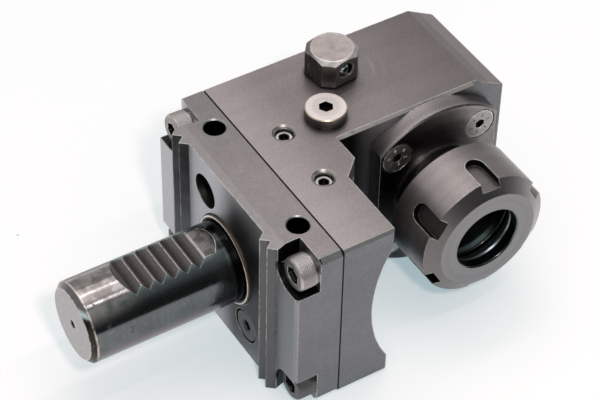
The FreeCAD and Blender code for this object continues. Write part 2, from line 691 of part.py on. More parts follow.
def chuck():
    """Flange, spigot, threaded nose and the 8 degree collet seat."""
    y0 = HEAD_FACE_Y
    yf = y0 - FLANGE_T
    yn = yf - NOSE_LEN
    ys = y0 + SPIGOT_LEN - SPIGOT_ROOM
    yt = yn + TAPER_LEN
    e = NOSE_EDGE
    small = TAPER_R - TAPER_LEN * math.tan(math.radians(TAPER_DEG))
    spigot = SPIGOT_R - RUN / 2
    profile = [(ys, CHUCK_BORE_R), (ys, spigot - SPIGOT_EDGE), (ys - SPIGOT_EDGE, spigot), (y0, spigot)]
    profile += [(y0, FLANGE_R), (yf + FLANGE_EDGE, FLANGE_R), (yf, FLANGE_R - FLANGE_EDGE), (yf, NOSE_R - e)]
    profile += [(yf - NOSE_RELIEF, NOSE_R - e), (yf - NOSE_RELIEF - e, NOSE_R), (yn + e, NOSE_R)]
    profile += [(yn, NOSE_R - e), (yn, TAPER_R), (yt, small), (yt, CHUCK_BORE_R)]
    body = turned(profile, (NUT_X, 0, 0), Y_AXIS, Z_AXIS)
    cuts = [rod(CHUCK_PIN_R, CHUCK_PIN_IN_FLANGE + 0.2, (NUT_X, y0, CHUCK_PIN_Z), BACK_Y)]
    deep = CSK_HEAD_R - CSK_THREAD_R
    side = FLANGE_R + EDGE
    for sx in (-1, 1):
        x0 = NUT_X + FLANGE_FLAT * sx
        x1 = NUT_X + side * sx
        cuts.append(box(min(x0, x1), max(x0, x1), yf - LOOSE, y0, -side, side))
        for sz in (-1, 1):
            start = (NUT_X + CSK_X * sx, yf, CSK_Z * sz)
            cuts.append(rod(CSK_THREAD_R + CSK_SINK, 2 * FLANGE_T, start, Y_AXIS))
            cuts.append(taper(CSK_HEAD_R + 0.15, CSK_THREAD_R + 0.15, deep, start, Y_AXIS))
            cuts.append(rod(CSK_HEAD_R + CSK_ROOM, CSK_ROOM, start, Y_AXIS))
    return body.cut(fused(cuts))


def chuck_pin():
    start = (NUT_X, HEAD_FACE_Y - CHUCK_PIN_IN_FLANGE, CHUCK_PIN_Z)
    return rod(CHUCK_PIN_R, CHUCK_PIN_LEN, start, Y_AXIS)


def countersunk_screw(sx, sz):
    x = NUT_X + CSK_X * sx
    z = CSK_Z * sz
    yf = HEAD_FACE_Y - FLANGE_T + LOOSE
    deep = CSK_HEAD_R - CSK_THREAD_R
    r = CSK_THREAD_R
    rim = yf + CSK_SINK
    profile = [(yf, 0), (yf, CSK_HEAD_R), (rim, CSK_HEAD_R), (rim + deep, r)]
    profile += [(yf + CSK_LEN - CSK_POINT, r), (yf + CSK_LEN, r - CSK_POINT), (yf + CSK_LEN, 0)]
    body = turned(profile, (x, 0, z), Y_AXIS, Z_AXIS)
    seat = taper(CSK_HEAD_R + 0.14, r + 0.14, deep, (x, yf - LOOSE, z), Y_AXIS)
    keep = seat.fuse(rod(r, CSK_LEN + 1, (x, yf, z), Y_AXIS))
    return body.common(keep).cut(hexagon(CSK_HEX, CSK_HEX_DEPTH, (x, yf, z), Y_AXIS))


def nut():
    """Clamping nut with a coned front and six round-ended spanner slots."""
    y0 = NUT_REAR_Y
    y1 = y0 - NUT_LEN
    e = NUT_EDGE
    shoulder = y1 + NUT_LIP + NUT_RECESS_LEN
    thread = NOSE_R + RUN
    profile = [(y0, NUT_R - e), (y0 - e, NUT_R), (y1 + NUT_CONE_LEN, NUT_R), (y1, NUT_RING_R)]
    profile += [(y1, NUT_BORE_R + NUT_BORE_EDGE), (y1 + NUT_BORE_EDGE, NUT_BORE_R)]
    profile += [(y1 + NUT_LIP, NUT_BORE_R), (y1 + NUT_LIP, NUT_RECESS_R), (shoulder, NUT_RECESS_R)]
    profile += [(shoulder, thread), (y0 - e, thread), (y0, thread + e)]
    body = turned(profile, (NUT_X, 0, 0), Y_AXIS, Z_AXIS)
    half = SLOT_W / 2
    top = NUT_R + EDGE
    round_y = SLOT_END_Y - half
    cuts = []
    for i in range(SLOT_COUNT):
        slot = box(-half, half, y1 - EDGE, round_y, SLOT_FLOOR_R, top)
        slot = slot.fuse(rod(half, top - SLOT_FLOOR_R, (0, round_y, SLOT_FLOOR_R), Z_AXIS))
        slot.rotate(V(0, 0, 0), V(*Y_AXIS), 90 - (SLOT_FIRST_DEG + 360 / SLOT_COUNT * i))
        slot.translate(V(NUT_X, 0, 0))
        cuts.append(slot)
    return body.cut(fused(cuts))


def slip_ring():
    """Extraction ring that grips a collet's groove and lets the nut turn on it."""
    y1 = NUT_REAR_Y - NUT_LEN + NUT_LIP + LOOSE
    y0 = y1 + SLIP_RING_LEN
    r = NUT_RECESS_R - LOOSE
    lip = NUT_BORE_R + SLIP_LIP
    profile = [(y1, NUT_BORE_R + SLIP_EDGE), (y1, r), (y0, r), (y0, NUT_BORE_R + SLIP_WALL)]
    profile += [(y1 + 2 * SLIP_LIP_LEN, lip), (y1 + SLIP_LIP_LEN, lip)]
    return turned(profile, (NUT_X, 0, 0), Y_AXIS, Z_AXIS)


def save(name, shape):
    if shape.ShapeType == "Compound" and len(shape.Solids) == 1:
        shape = shape.Solids[0]
    shape = shape.removeSplitter()
    ok = shape.isValid() and len(shape.Solids) == 1
    print(name, "ok" if ok else "BAD", len(shape.Solids), round(shape.Volume / 1000, 2))
    shape.exportStep("parts/" + name + ".step")


def main():
    os.makedirs("parts", exist_ok=True)
    single = {
        "shank": shank, "base_plate": base_plate, "shank_seal": shank_seal, "shank_pin": shank_pin,
        "coolant_insert": port_insert, "transfer_seal": transfer_seal, "alignment_key": alignment_key,
        "block": block, "collar_plug": collar_plug, "plug_washer": plug_washer,
        "nozzle_body": nozzle_body, "nozzle_ball": nozzle_ball, "nozzle_seal": nozzle_seal,
        "nozzle_pin": nozzle_pin, "chuck": chuck, "chuck_pin": chuck_pin,
        "clamping_nut": nut, "slip_ring": slip_ring,
    }
    for name, make in single.items():
        save(name, make())
    for i, (s, t) in enumerate([(-1, 1), (1, 1), (-1, -1), (1, -1)]):
        save("cap_screw_%d" % (i + 1), cap_screw(s, t))
        save("countersunk_screw_%d" % (i + 1), countersunk_screw(s, t))
    for i, side in enumerate((1, -1)):
        save("adjusting_screw_%d" % (i + 1), adjusting_screw(side))
    for i, (start, inward) in enumerate(BLINDS):
        save("channel_plug_%d" % (i + 1), blind_plug(start, inward))


main()
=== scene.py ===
# %% [markdown]
# A right-angle collet chuck holder for a turning machine. A toothed round shank goes into the turret,
# a plate with vertical V ridges lies against it, and a block behind the plate carries the chuck at a
# right angle. Nearly all of it is steel that was blackened in hot salts and then worn by use.
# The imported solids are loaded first. They are true to size, so the looks are built around them.

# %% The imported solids
import bpy
import math
from mathutils import Matrix, Vector


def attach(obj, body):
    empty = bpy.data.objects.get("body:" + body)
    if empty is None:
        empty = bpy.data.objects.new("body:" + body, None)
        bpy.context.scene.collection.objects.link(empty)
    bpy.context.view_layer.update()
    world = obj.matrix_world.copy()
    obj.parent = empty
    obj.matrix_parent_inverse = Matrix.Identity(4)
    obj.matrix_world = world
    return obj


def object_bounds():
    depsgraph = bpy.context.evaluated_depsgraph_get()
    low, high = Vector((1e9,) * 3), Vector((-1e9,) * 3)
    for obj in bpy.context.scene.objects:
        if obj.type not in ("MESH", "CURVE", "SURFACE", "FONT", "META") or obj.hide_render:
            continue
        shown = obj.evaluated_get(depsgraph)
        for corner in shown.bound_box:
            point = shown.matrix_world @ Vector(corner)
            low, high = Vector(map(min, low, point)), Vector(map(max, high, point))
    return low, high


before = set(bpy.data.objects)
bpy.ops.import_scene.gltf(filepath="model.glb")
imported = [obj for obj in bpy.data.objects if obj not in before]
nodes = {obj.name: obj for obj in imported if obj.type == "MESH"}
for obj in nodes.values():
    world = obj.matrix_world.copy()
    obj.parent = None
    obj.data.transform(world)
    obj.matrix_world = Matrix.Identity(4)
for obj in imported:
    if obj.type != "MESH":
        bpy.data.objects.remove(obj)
cad_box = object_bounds()

# %% [markdown]
# The photograph was taken from the left and above, with a long lens. A long lens keeps the block's edges
# nearly parallel. The camera is set by its direction, its distance and its tilt, so it could be moved
# by changing one number.

# %% Camera
AZIMUTH, ELEVATION, TILT = math.radians(-32.605), math.radians(44.505), math.radians(1.385)
DISTANCE = 0.63572
LENS, SENSOR = 130.58, 36.0
AIM_AT, SHIFT_RIGHT, SHIFT_UP = Vector((0.015, 0, 0)), 0.008371, 0.011942

level = math.cos(ELEVATION)
toward = Vector((math.sin(AZIMUTH) * level, -math.cos(AZIMUTH) * level, math.sin(ELEVATION)))
right = Vector((math.cos(AZIMUTH), math.sin(AZIMUTH), 0))
upward = toward.cross(right)
aim = AIM_AT + right * SHIFT_RIGHT + upward * SHIFT_UP
tilted_right = right * math.cos(TILT) + upward * math.sin(TILT)
tilted_up = upward * math.cos(TILT) - right * math.sin(TILT)

lens = bpy.data.cameras.new("camera")
lens.lens, lens.sensor_width, lens.sensor_fit = LENS, SENSOR, "HORIZONTAL"
lens.clip_start, lens.clip_end = 0.01, 20
camera = bpy.data.objects.new("camera", lens)
bpy.context.scene.collection.objects.link(camera)
turn = Matrix((tilted_right, tilted_up, toward)).transposed()
camera.matrix_world = Matrix.Translation(aim + toward * DISTANCE) @ turn.to_4x4()
bpy.context.scene.camera = camera
bpy.context.scene.view_settings.view_transform = "Standard"
print("camera stands at", [round(c, 3) for c in camera.matrix_world.translation])

# %% [markdown]
# Materials are made of nodes. These helpers keep the cells that follow short: one adds a node and sets
# its sockets, others do a sum, a vector sum, a smooth step and a blend of two colours. A socket that is
# given another node's output is linked to it, and a plain value is written into it.

# %% Node helpers
def fill(tree, socket, value):
    if isinstance(value, bpy.types.NodeSocket):
        tree.links.new(value, socket)
    elif socket.type == "RGBA":
        socket.default_value = (*value[:3], 1)
    else:
        socket.default_value = value


def put(tree, kind, values=None, **settings):
    node = tree.nodes.new("ShaderNode" + kind)
    for key, value in settings.items():
        setattr(node, key, value)
    for key, value in (values or {}).items():
        fill(tree, node.inputs[key], value)
    return node


def math_node(tree, operation, *values, clamp=False):
    return put(tree, "Math", dict(enumerate(values)), operation=operation, use_clamp=clamp).outputs[0]


def times(tree, *values):
    product = values[0]
    for value in values[1:]:
        product = math_node(tree, "MULTIPLY", product, value)
    return product


def vector_node(tree, operation, first, second=None):
    values = {0: first}
    if second is not None:
        values["Scale" if operation == "SCALE" else 1] = second
    outputs = put(tree, "VectorMath", values, operation=operation).outputs
    return outputs["Value"] if operation in ("DOT_PRODUCT", "LENGTH") else outputs["Vector"]


def ramp(tree, value, low, high, to_low=0.0, to_high=1.0):
    values = {"Value": value, "From Min": low, "From Max": high, "To Min": to_low, "To Max": to_high}
    return put(tree, "MapRange", values, interpolation_type="SMOOTHSTEP").outputs["Result"]


def blend_colour(tree, share, first, second):
    return put(tree, "Mix", {0: share, 6: first, 7: second}, data_type="RGBA").outputs[2]


def blend_value(tree, share, first, second):
    return put(tree, "Mix", {0: share, 2: first, 3: second}, data_type="FLOAT").outputs[0]


def new_group(name, inputs, outputs):
    tree = bpy.data.node_groups.new(name, "ShaderNodeTree")
    for label, value in inputs.items():
        kind = "Float" if isinstance(value, (int, float)) else "Vector" if len(value) == 3 else "Color"
        socket = tree.interface.new_socket(name=label, in_out="INPUT", socket_type="NodeSocket" + kind)
        socket.default_value = value
    for label, kind in outputs.items():
        tree.interface.new_socket(name=label, in_out="OUTPUT", socket_type="NodeSocket" + kind)
    return tree, tree.nodes.new("NodeGroupInput").outputs, tree.nodes.new("NodeGroupOutput").inputs


def use_group(tree, name, **values):
    node = put(tree, "Group", node_tree=bpy.data.node_groups[name])
    for key, value in values.items():
        fill(tree, node.inputs[key.replace("_", " ")], value)
    return node.outputs


print("node helpers are ready")

# %% [markdown]
# Every edge of the real holder is broken by a file and then rubbed bright by handling. A bevelled mesh
# could show that, but the solids must stay as they are. The Bevel node bends the shading at each edge
# instead, and Ambient Occlusion looking inwards finds the convex edges, where the blackening is rubbed off.
# Noise breaks the bright line up, because no edge wears evenly. Ambient Occlusion looking outwards finds
# the opposite: inner corners and seams, where oil and dirt stay and where shade falls, so the darkening
# there is partly dirt and partly painted shade.

# %% Edge wear, and dirt and painted shade in corners
tree, given, out = new_group("Edge wear", {"Width": 0.0003, "Amount": 0.6, "Break up": 0.5},
                             {"Wear": "Float", "Normal": "Vector"})
rounded = put(tree, "Bevel", {"Radius": given["Width"]}, samples=6)
reach = times(tree, given["Width"], 1.5)
inward = put(tree, "AmbientOcclusion", {"Distance": reach}, inside=True, only_local=True, samples=8)
near_edge = math_node(tree, "SUBTRACT", 1.0, inward.outputs["AO"])
place = put(tree, "TexCoord").outputs["Object"]
patches = put(tree, "TexNoise", {"Vector": place, "Scale": 700.0, "Detail": 3.0}).outputs["Fac"]
uneven = times(tree, ramp(tree, patches, 0.35, 0.65, 1.2, -1.0), given["Break up"])
kept = math_node(tree, "SUBTRACT", 1.0, math_node(tree, "MAXIMUM", uneven, 0.0))
worn = times(tree, ramp(tree, near_edge, 0.06, 0.32), kept)
tree.links.new(math_node(tree, "MULTIPLY", worn, given["Amount"], clamp=True), out["Wear"])
tree.links.new(rounded.outputs["Normal"], out["Normal"])

tree, given, out = new_group("Corner dirt and shade", {"Reach": 0.001}, {"Mask": "Float"})
outward = put(tree, "AmbientOcclusion", {"Distance": given["Reach"]}, samples=8)
place = put(tree, "TexCoord").outputs["Object"]
patches = put(tree, "TexNoise", {"Vector": place, "Scale": 400.0, "Detail": 4.0}).outputs["Fac"]
shut_in = math_node(tree, "SUBTRACT", 1.0, outward.outputs["AO"])
tree.links.new(ramp(tree, math_node(tree, "ADD", shut_in, times(tree, patches, 0.25)), 0.35, 0.75),
               out["Mask"])
print("groups: Edge wear, Corner dirt and shade")

# %% [markdown]
# A lathe leaves rings: round the axis on a side, and round the centre on an end face. Adding a point's
# station along the axis to its distance from the axis gives one number that changes across both, and
# noise along that number is the set of rings. A grinder or a mill leaves straight lines instead, which
# are noise that is stretched along the cut.

# %% Turned rings and ground lines
tree, given, out = new_group("Turned rings",
                             {"Centre": (0.0, 0.0, 0.0), "Axis": (0.0, 1.0, 0.0), "Spacing": 0.0003},
                             {"Height": "Float", "Shade": "Float"})
place = vector_node(tree, "SUBTRACT", put(tree, "TexCoord").outputs["Object"], given["Centre"])
station = vector_node(tree, "DOT_PRODUCT", place, given["Axis"])
along = vector_node(tree, "SCALE", given["Axis"], station)
radius = vector_node(tree, "LENGTH", vector_node(tree, "SUBTRACT", place, along))
cut = math_node(tree, "DIVIDE", math_node(tree, "ADD", station, radius), given["Spacing"])
fine = put(tree, "TexNoise", {"W": cut, "Scale": 1.0, "Detail": 2.0}, noise_dimensions="1D").outputs["Fac"]
broad = put(tree, "TexNoise", {"W": cut, "Scale": 0.13, "Detail": 1.0},
            noise_dimensions="1D").outputs["Fac"]
tree.links.new(fine, out["Height"])
tree.links.new(broad, out["Shade"])

tree, given, out = new_group("Ground lines", {"Along": (0.0, 1.0, 0.0), "Spacing": 0.0003},
                             {"Height": "Float", "Shade": "Float"})
place = put(tree, "TexCoord").outputs["Object"]
station = vector_node(tree, "DOT_PRODUCT", place, given["Along"])
along = vector_node(tree, "SCALE", given["Along"], times(tree, station, 0.9))
across = vector_node(tree, "SUBTRACT", place, along)
scaled = vector_node(tree, "SCALE", across, math_node(tree, "DIVIDE", 1.0, given["Spacing"]))
fine = put(tree, "TexNoise", {"Vector": scaled, "Scale": 1.0, "Detail": 2.0}).outputs["Fac"]
broad = put(tree, "TexNoise", {"Vector": scaled, "Scale": 0.09, "Detail": 2.0}).outputs["Fac"]
tree.links.new(fine, out["Height"])
tree.links.new(broad, out["Shade"])
print("groups: Turned rings, Ground lines")

# %% [markdown]
# Blackened steel is never one colour. The salts leave soft clouds, oil and dust leave fine grain and a
# few specks, and handling leaves short scratches. The last group gives a colour for each direction that a
# face looks in, read from the object's own normal. It stands for sides that took the black differently,
# and for how bright each side is in the photograph, which one photograph can't tell apart.

# %% Clouds, grain, specks, scratches and face shades
tree, given, out = new_group("Clouds",
                             {"Light": (0.3, 0.3, 0.3, 1.0), "Dark": (0.2, 0.2, 0.2, 1.0), "Size": 0.01},
                             {"Color": "Color"})
place = put(tree, "TexCoord").outputs["Object"]
scaled = vector_node(tree, "SCALE", place, math_node(tree, "DIVIDE", 1.0, given["Size"]))
soft = {"Vector": scaled, "Scale": 1.0, "Detail": 5.0, "Roughness": 0.6, "Distortion": 0.4}
cloud = put(tree, "TexNoise", soft).outputs["Fac"]
share = ramp(tree, cloud, 0.3, 0.7)
tree.links.new(blend_colour(tree, share, given["Dark"], given["Light"]), out["Color"])

tree, given, out = new_group("Grain", {"Size": 0.00025}, {"Mask": "Float", "Height": "Float"})
place = put(tree, "TexCoord").outputs["Object"]
scaled = vector_node(tree, "SCALE", place, math_node(tree, "DIVIDE", 1.0, given["Size"]))
fine = put(tree, "TexNoise",
           {"Vector": scaled, "Scale": 1.0, "Detail": 3.0, "Roughness": 0.65}).outputs["Fac"]
tree.links.new(ramp(tree, fine, 0.3, 0.7), out["Mask"])
tree.links.new(fine, out["Height"])

tree, given, out = new_group("Specks", {"Spacing": 0.002, "Share": 0.3}, {"Mask": "Float"})
place = put(tree, "TexCoord").outputs["Object"]
scaled = vector_node(tree, "SCALE", place, math_node(tree, "DIVIDE", 1.0, given["Spacing"]))
cells = put(tree, "TexVoronoi", {"Vector": scaled, "Scale": 1.0}).outputs
lot = put(tree, "SeparateColor", {"Color": cells["Color"]}).outputs
limit = times(tree, lot["Red"], 0.12)
chosen = math_node(tree, "LESS_THAN", lot["Green"], given["Share"])
tree.links.new(times(tree, chosen, math_node(tree, "LESS_THAN", cells["Distance"], limit)), out["Mask"])

tree, given, out = new_group("Scratches", {"Along": (0.0, 1.0, 0.0), "Size": 0.004, "Share": 0.3},
                             {"Mask": "Float"})
place = put(tree, "TexCoord").outputs["Object"]
wander = put(tree, "TexNoise", {"Vector": place, "Scale": 60.0, "Detail": 1.0}).outputs["Color"]
place = vector_node(tree, "ADD", place, vector_node(tree, "SCALE", wander, 0.004))
station = vector_node(tree, "DOT_PRODUCT", place, given["Along"])
along = vector_node(tree, "SCALE", given["Along"], times(tree, station, 0.94))
across = vector_node(tree, "SUBTRACT", place, along)
scaled = vector_node(tree, "SCALE", across, math_node(tree, "DIVIDE", 18.0, given["Size"]))
lines = put(tree, "TexNoise", {"Vector": scaled, "Scale": 1.0, "Detail": 1.0}).outputs["Fac"]
edge_of = math_node(tree, "SUBTRACT", 0.74, times(tree, given["Share"], 0.1))
tree.links.new(ramp(tree, lines, edge_of, math_node(tree, "ADD", edge_of, 0.03)), out["Mask"])

shades = {"Ends": (0.4, 0.4, 0.4, 1.0), "Sides": (0.2, 0.2, 0.2, 1.0), "Top": (0.3, 0.3, 0.3, 1.0),
          "Edges": (0.25, 0.27, 0.27, 1.0)}
tree, given, out = new_group("Face shades", shades, {"Color": "Color"})
facing = put(tree, "TexCoord").outputs["Normal"]
squared = put(tree, "SeparateXYZ", {"Vector": vector_node(tree, "MULTIPLY", facing, facing)}).outputs
mixed = blend_colour(tree, ramp(tree, squared["X"], 0.35, 0.65), given["Sides"], given["Ends"])
mixed = blend_colour(tree, ramp(tree, squared["Z"], 0.15, 0.3), mixed, given["Edges"])
tree.links.new(blend_colour(tree, ramp(tree, squared["Z"], 0.65, 0.85), mixed, given["Top"]), out["Color"])
print("groups: Clouds, Grain, Specks, Scratches, Face shades")

# %% [markdown]
# A finish often changes at a place that the maker chose: the end of a shank is faced, its rack is milled,
# its side is ground. Separate pieces of mesh could carry separate materials, but the shank is one piece
# of steel. A Surface reads where a point lies and which way it faces, and gives masks from that: between
# two stations, round an axis, or facing a direction. They are in the solid's own frame, so they stay put.

# %% Where a point lies
class Surface:
    def __init__(self, tree):
        self.tree = tree
        coordinate = put(tree, "TexCoord").outputs
        self.point, self.normal = coordinate["Object"], coordinate["Normal"]
        self.x, self.y, self.z = put(tree, "SeparateXYZ", {"Vector": self.point}).outputs
        self.nx, self.ny, self.nz = put(tree, "SeparateXYZ", {"Vector": self.normal}).outputs

    def step(self, value, low, high):
        return ramp(self.tree, value, low, high)

    def between(self, value, low, high, soft=0.0001):
        rise = ramp(self.tree, value, low - soft, low + soft)
        return times(self.tree, rise, ramp(self.tree, value, high - soft, high + soft, 1.0, 0.0))

    def away(self, first, first_at, second, second_at, fold=False):
        """Distance from a line that is square to the two coordinates. With fold, four such lines."""
        parts = []
        for value, at in ((first, first_at), (second, second_at)):
            value = math_node(self.tree, "ABSOLUTE", value) if fold else value
            parts.append(math_node(self.tree, "POWER", math_node(self.tree, "SUBTRACT", value, at), 2.0))
        return math_node(self.tree, "SQRT", math_node(self.tree, "ADD", *parts))

    def noise(self, scale, low, high):
        cloud = put(self.tree, "TexNoise",
                    {"Vector": self.point, "Scale": scale, "Detail": 3.0}).outputs["Fac"]
        return ramp(self.tree, cloud, low, high)

    def all(self, *masks):
        return times(self.tree, *masks)


print("Surface gives masks from place and direction")

# %% [markdown]
# Many finishes change at a piece's own place: a socket is painted darker inside, as shade, and a gap holds
# oil. These places are given once, in metres from the shank's axis and the plate's front face, with the
# directions that things are turned or ground along. Pairs and fours lie mirrored, so one number serves all
# of them.

# %% Where the pieces sit
UP, ALONG, ACROSS, SPINDLE = (0.0, 0.0, 1.0), (1.0, 0.0, 0.0), (0.0, 1.0, 0.0), (0.0, -1.0, 0.0)
NUT_X = 0.070
SHANK_CENTRE, NUT_CENTRE = (0.0, 0.0, 0.0), (NUT_X, 0.0, 0.0)
PORT_Y, PORT_Z = 0.0116, 0.0177
CAP_SCREW_Y, CAP_SCREW_Z = 0.0336, 0.0228
ADJUSTER_X, ADJUSTER_Y = 0.02585, 0.0108
NOZZLE_X, NOZZLE_Y = 0.0518, 0.0266
COLLAR_X, COLLAR_Y = 0.040, 0.0108
FLANGE_SCREW_X, FLANGE_SCREW_Z = 0.01467, 0.0174
print("the nut's axis is", round(1000 * NUT_X), "mm behind the plate's front face")

# %% [markdown]
# All the steels are made by one function, because they differ only in values: colour of the finish,
# colour where it is worn, gloss, how the surface was cut, and how deep the cuts are. It starts from a
# Principled shader as a full metal. Cloud and grain vary its colour and gloss, zones change both where a
# mask says so, and the cuts and the grain go into one Bump node on top of the rounded edges.

# %% One function for all the steels
CLOUD_SIZE, GRAIN_SIZE, GRAIN_SHADE = 0.012, 0.0003, 0.12
# The colour for inner corners: partly oil and dirt, partly painted shade.
OIL_AND_SHADE = (0.02, 0.017, 0.015)
finishes = {}


def start_material(name):
    material = bpy.data.materials.new(name)
    material.use_nodes = True
    tree = material.node_tree
    return material, tree, tree.nodes["Principled BSDF"]


def steel(name, light, dark, gloss, faces=None, zones=None, over_wear=None, bare=(0.5, 0.49, 0.46), wear=0.6,
          width=0.0003, centre=None, axis=ACROSS, spacing=0.0003, cut=0.000003, grain_depth=0.000004,
          lines=0.1, dirt=0.0):
    """gloss is the lowest and highest roughness. cut and grain_depth are depths, and dirt is how far the
    corner darkening reaches, in metres; that darkening is partly dirt and partly painted shade. faces gives
    a colour for ends, sides, top and edges. zones returns rows of mask, colour and roughness, and the
    argument after it
    returns the same over the wear: marks, dark seams and some painted shade."""
    material, tree, shader = start_material(name)
    shader.inputs["Metallic"].default_value = 1.0
    at = Surface(tree)
    edge = use_group(tree, "Edge wear", Width=width, Amount=wear, Break_up=0.6)
    clouds = use_group(tree, "Clouds", Light=light, Dark=dark, Size=CLOUD_SIZE)
    grain = use_group(tree, "Grain", Size=GRAIN_SIZE)
    if centre is None:
        marks = use_group(tree, "Ground lines", Along=axis, Spacing=spacing)
    else:
        marks = use_group(tree, "Turned rings", Centre=centre, Axis=axis, Spacing=spacing)
    colour = clouds["Color"]
    if faces:
        sides = use_group(tree, "Face shades", **dict(zip(("Ends", "Sides", "Top", "Edges"), faces)))
        colour = vector_node(tree, "MULTIPLY", colour, sides["Color"])
    rough = ramp(tree, grain["Mask"], 0.0, 1.0, *gloss)
    for mask, paint, dull in (zones(at) if zones else ()):
        colour = blend_colour(tree, mask, colour, paint)
        rough = blend_value(tree, mask, rough, dull)
    tone = times(tree, ramp(tree, marks["Shade"], 0.3, 0.7, 1.0 + lines, 1.0 - lines),
                 ramp(tree, grain["Mask"], 0.0, 1.0, 1.0 + GRAIN_SHADE, 1.0 - GRAIN_SHADE))
    colour = vector_node(tree, "SCALE", colour, tone)
    # Inner corners are darkened, partly for dirt and partly as painted shade.
    if dirt:
        oil_and_shade = times(tree, use_group(tree, "Corner dirt and shade", Reach=dirt)["Mask"], 0.8)
        colour = blend_colour(tree, oil_and_shade, colour, OIL_AND_SHADE)
    colour = blend_colour(tree, edge["Wear"], colour, bare)
    for mask, paint, dull in (over_wear(at) if over_wear else ()):
        colour = blend_colour(tree, mask, colour, paint)
        rough = blend_value(tree, mask, rough, dull)
    fill(tree, shader.inputs["Base Color"], colour)
    fill(tree, shader.inputs["Roughness"], rough)
    height = math_node(tree, "ADD", times(tree, marks["Height"], cut),
                       times(tree, grain["Height"], grain_depth))
    bump = put(tree, "Bump", {"Height": height, "Normal": edge["Normal"], "Strength": 1.0, "Distance": 1.0})
    fill(tree, shader.inputs["Normal"], bump.outputs["Normal"])
    finishes[name] = material


print("steel is ready, clouds", 1000 * CLOUD_SIZE, "mm, grain", 1000 * GRAIN_SIZE, "mm")

# %% [markdown]
# The plate and the block are milled and ground, then blackened. Their tops look warm grey, their fronts
# cool. The seam between them holds oil and looks like a dark brown line, so it is drawn as grime over the
# worn edges, and so is the gap round the coolant insert, whose darker side is painted shade. The dark patch
# on the front round the shank is partly oil and partly a painted dark reflection. The patch, the shades of
# the ridges and of the lands beside them, the top, lighter at the front and darker at the far side, the
# near-black slope of the pocket and the dark teal insides of the two holes are painted as the photograph's
# light shows them.

# %% Plate
SEAM_X, SEAM_HALF = 0.015, 0.00028
SEAM_BROWN = (0.035, 0.026, 0.023)


def seam(at):
    offset = math_node(at.tree, "ABSOLUTE", math_node(at.tree, "SUBTRACT", at.x, SEAM_X))
    return [(at.step(offset, SEAM_HALF + 0.0001, SEAM_HALF - 0.0001), SEAM_BROWN, 0.5)]


def plate_seams_and_shade(at):
    aside = math_node(at.tree, "ABSOLUTE", at.y)
    ridges = at.all(at.between(aside, 0.0196, 0.0289), at.step(at.x, -0.0001, -0.0003),
                    at.step(at.z, 0.0287, 0.0285))
    ring = at.all(at.between(at.away(at.y, -PORT_Y, at.z, -PORT_Z), 0.0047, 0.0056),
                  at.step(at.x, 0.0006, 0.0004))
    # One side of the gap round the coolant insert is painted darker, as shade.
    oil_and_shade = at.all(ring, at.step(math_node(at.tree, "SUBTRACT", at.y, at.z), 0.0045, 0.0068))
    return [
        (at.all(ridges, at.noise(90.0, 0.3, 0.7), 0.9), (0.12, 0.12, 0.125), 0.4),
        (ring, (0.13, 0.135, 0.14), 0.42),
        (oil_and_shade, (0.02, 0.015, 0.013), 0.5),
        *seam(at)]


def plate_zones(at):
    top = at.step(at.nz, 0.8, 0.95)
    front = at.all(at.step(at.nx, -0.3, -0.8), at.between(at.x, -0.001, 0.0006))
    away = at.away(at.y, 0.0, at.z, 0.0)
    # Round the shank the front is painted nearly black: partly oil, partly a painted dark reflection.
    oil_and_shade = at.all(front, at.step(away, 0.046, 0.02), at.step(at.y, 0.006, -0.006))
    over, aside = math_node(at.tree, "ABSOLUTE", at.z), math_node(at.tree, "ABSOLUTE", at.y)
    ridges = at.all(at.between(aside, 0.0196, 0.0289), at.step(at.x, -0.0001, -0.0003),
                    at.step(at.nz, 0.6, 0.4))
    valley = at.all(ridges, at.step(at.x, -0.0008, -0.0002), at.noise(500.0, 0.3, 0.6))
    land = at.all(at.step(at.nx, -0.8, -0.95), at.step(aside, 0.0285, 0.0288))
    far_land, near_land = at.all(land, at.step(at.y, 0.0, 0.001)), at.all(land, at.step(at.y, 0.0, -0.001))
    pocket = at.all(at.between(over, 0.0167, 0.0288), at.between(aside, 0.0265, 0.0383),
                    at.between(at.x, 0.0003, 0.0082))
    # The pocket's slope and the insides of the two holes are painted dark, as shade.
    sloped = at.all(pocket, at.step(at.nx, -0.9, -0.75))
    holes = at.all(at.step(at.away(aside, 0.023, at.x, 0.0098), 0.0034, 0.0033),
                   at.step(at.z, 0.0287, 0.0285))
    port = at.all(at.step(at.away(at.y, PORT_Y, at.z, PORT_Z), 0.0056, 0.00552),
                  at.step(at.x, 0.0002, 0.0005))
    return [
        # The top is painted lighter at the front and darker towards the far side, as the light falls.
        (at.all(top, at.between(at.x, -0.003, 0.0028, 0.0002)), (0.275, 0.25, 0.25), 0.4),
        (at.all(top, at.step(at.y, 0.0, 0.03), at.step(at.x, 0.004, 0.006)), (0.22, 0.2, 0.203), 0.42),
        (at.all(oil_and_shade, 0.97), (0.022, 0.024, 0.028), 0.45),
        (ridges, (0.115, 0.113, 0.12), 0.4),
        (at.all(ridges, at.step(at.y, 0.0, 0.001), at.step(at.z, -0.01, 0.015)), (0.062, 0.054, 0.057), 0.4),
        (valley, (0.05, 0.045, 0.042), 0.5),
        (sloped, (0.02, 0.022, 0.022), 0.35),
        (holes, (0.03, 0.045, 0.05), 0.25),
        (port, (0.1, 0.102, 0.1), 0.4),
        (far_land, (0.45, 0.44, 0.47), 0.42),
        (near_land, (0.235, 0.24, 0.25), 0.42)]


steel("plate_steel", (1, 1, 1), (0.92, 0.92, 0.93), (0.4, 0.48), zones=plate_zones, over_wear=plate_seams_and_shade,
      axis=UP, wear=0.7, lines=0.03, width=0.00024,
      faces=((0.43, 0.427, 0.457), (0.2, 0.2, 0.215), (0.262, 0.23, 0.231), (0.36, 0.38, 0.375)),
      bare=(0.6, 0.58, 0.52))
print("finishes:", *finishes)

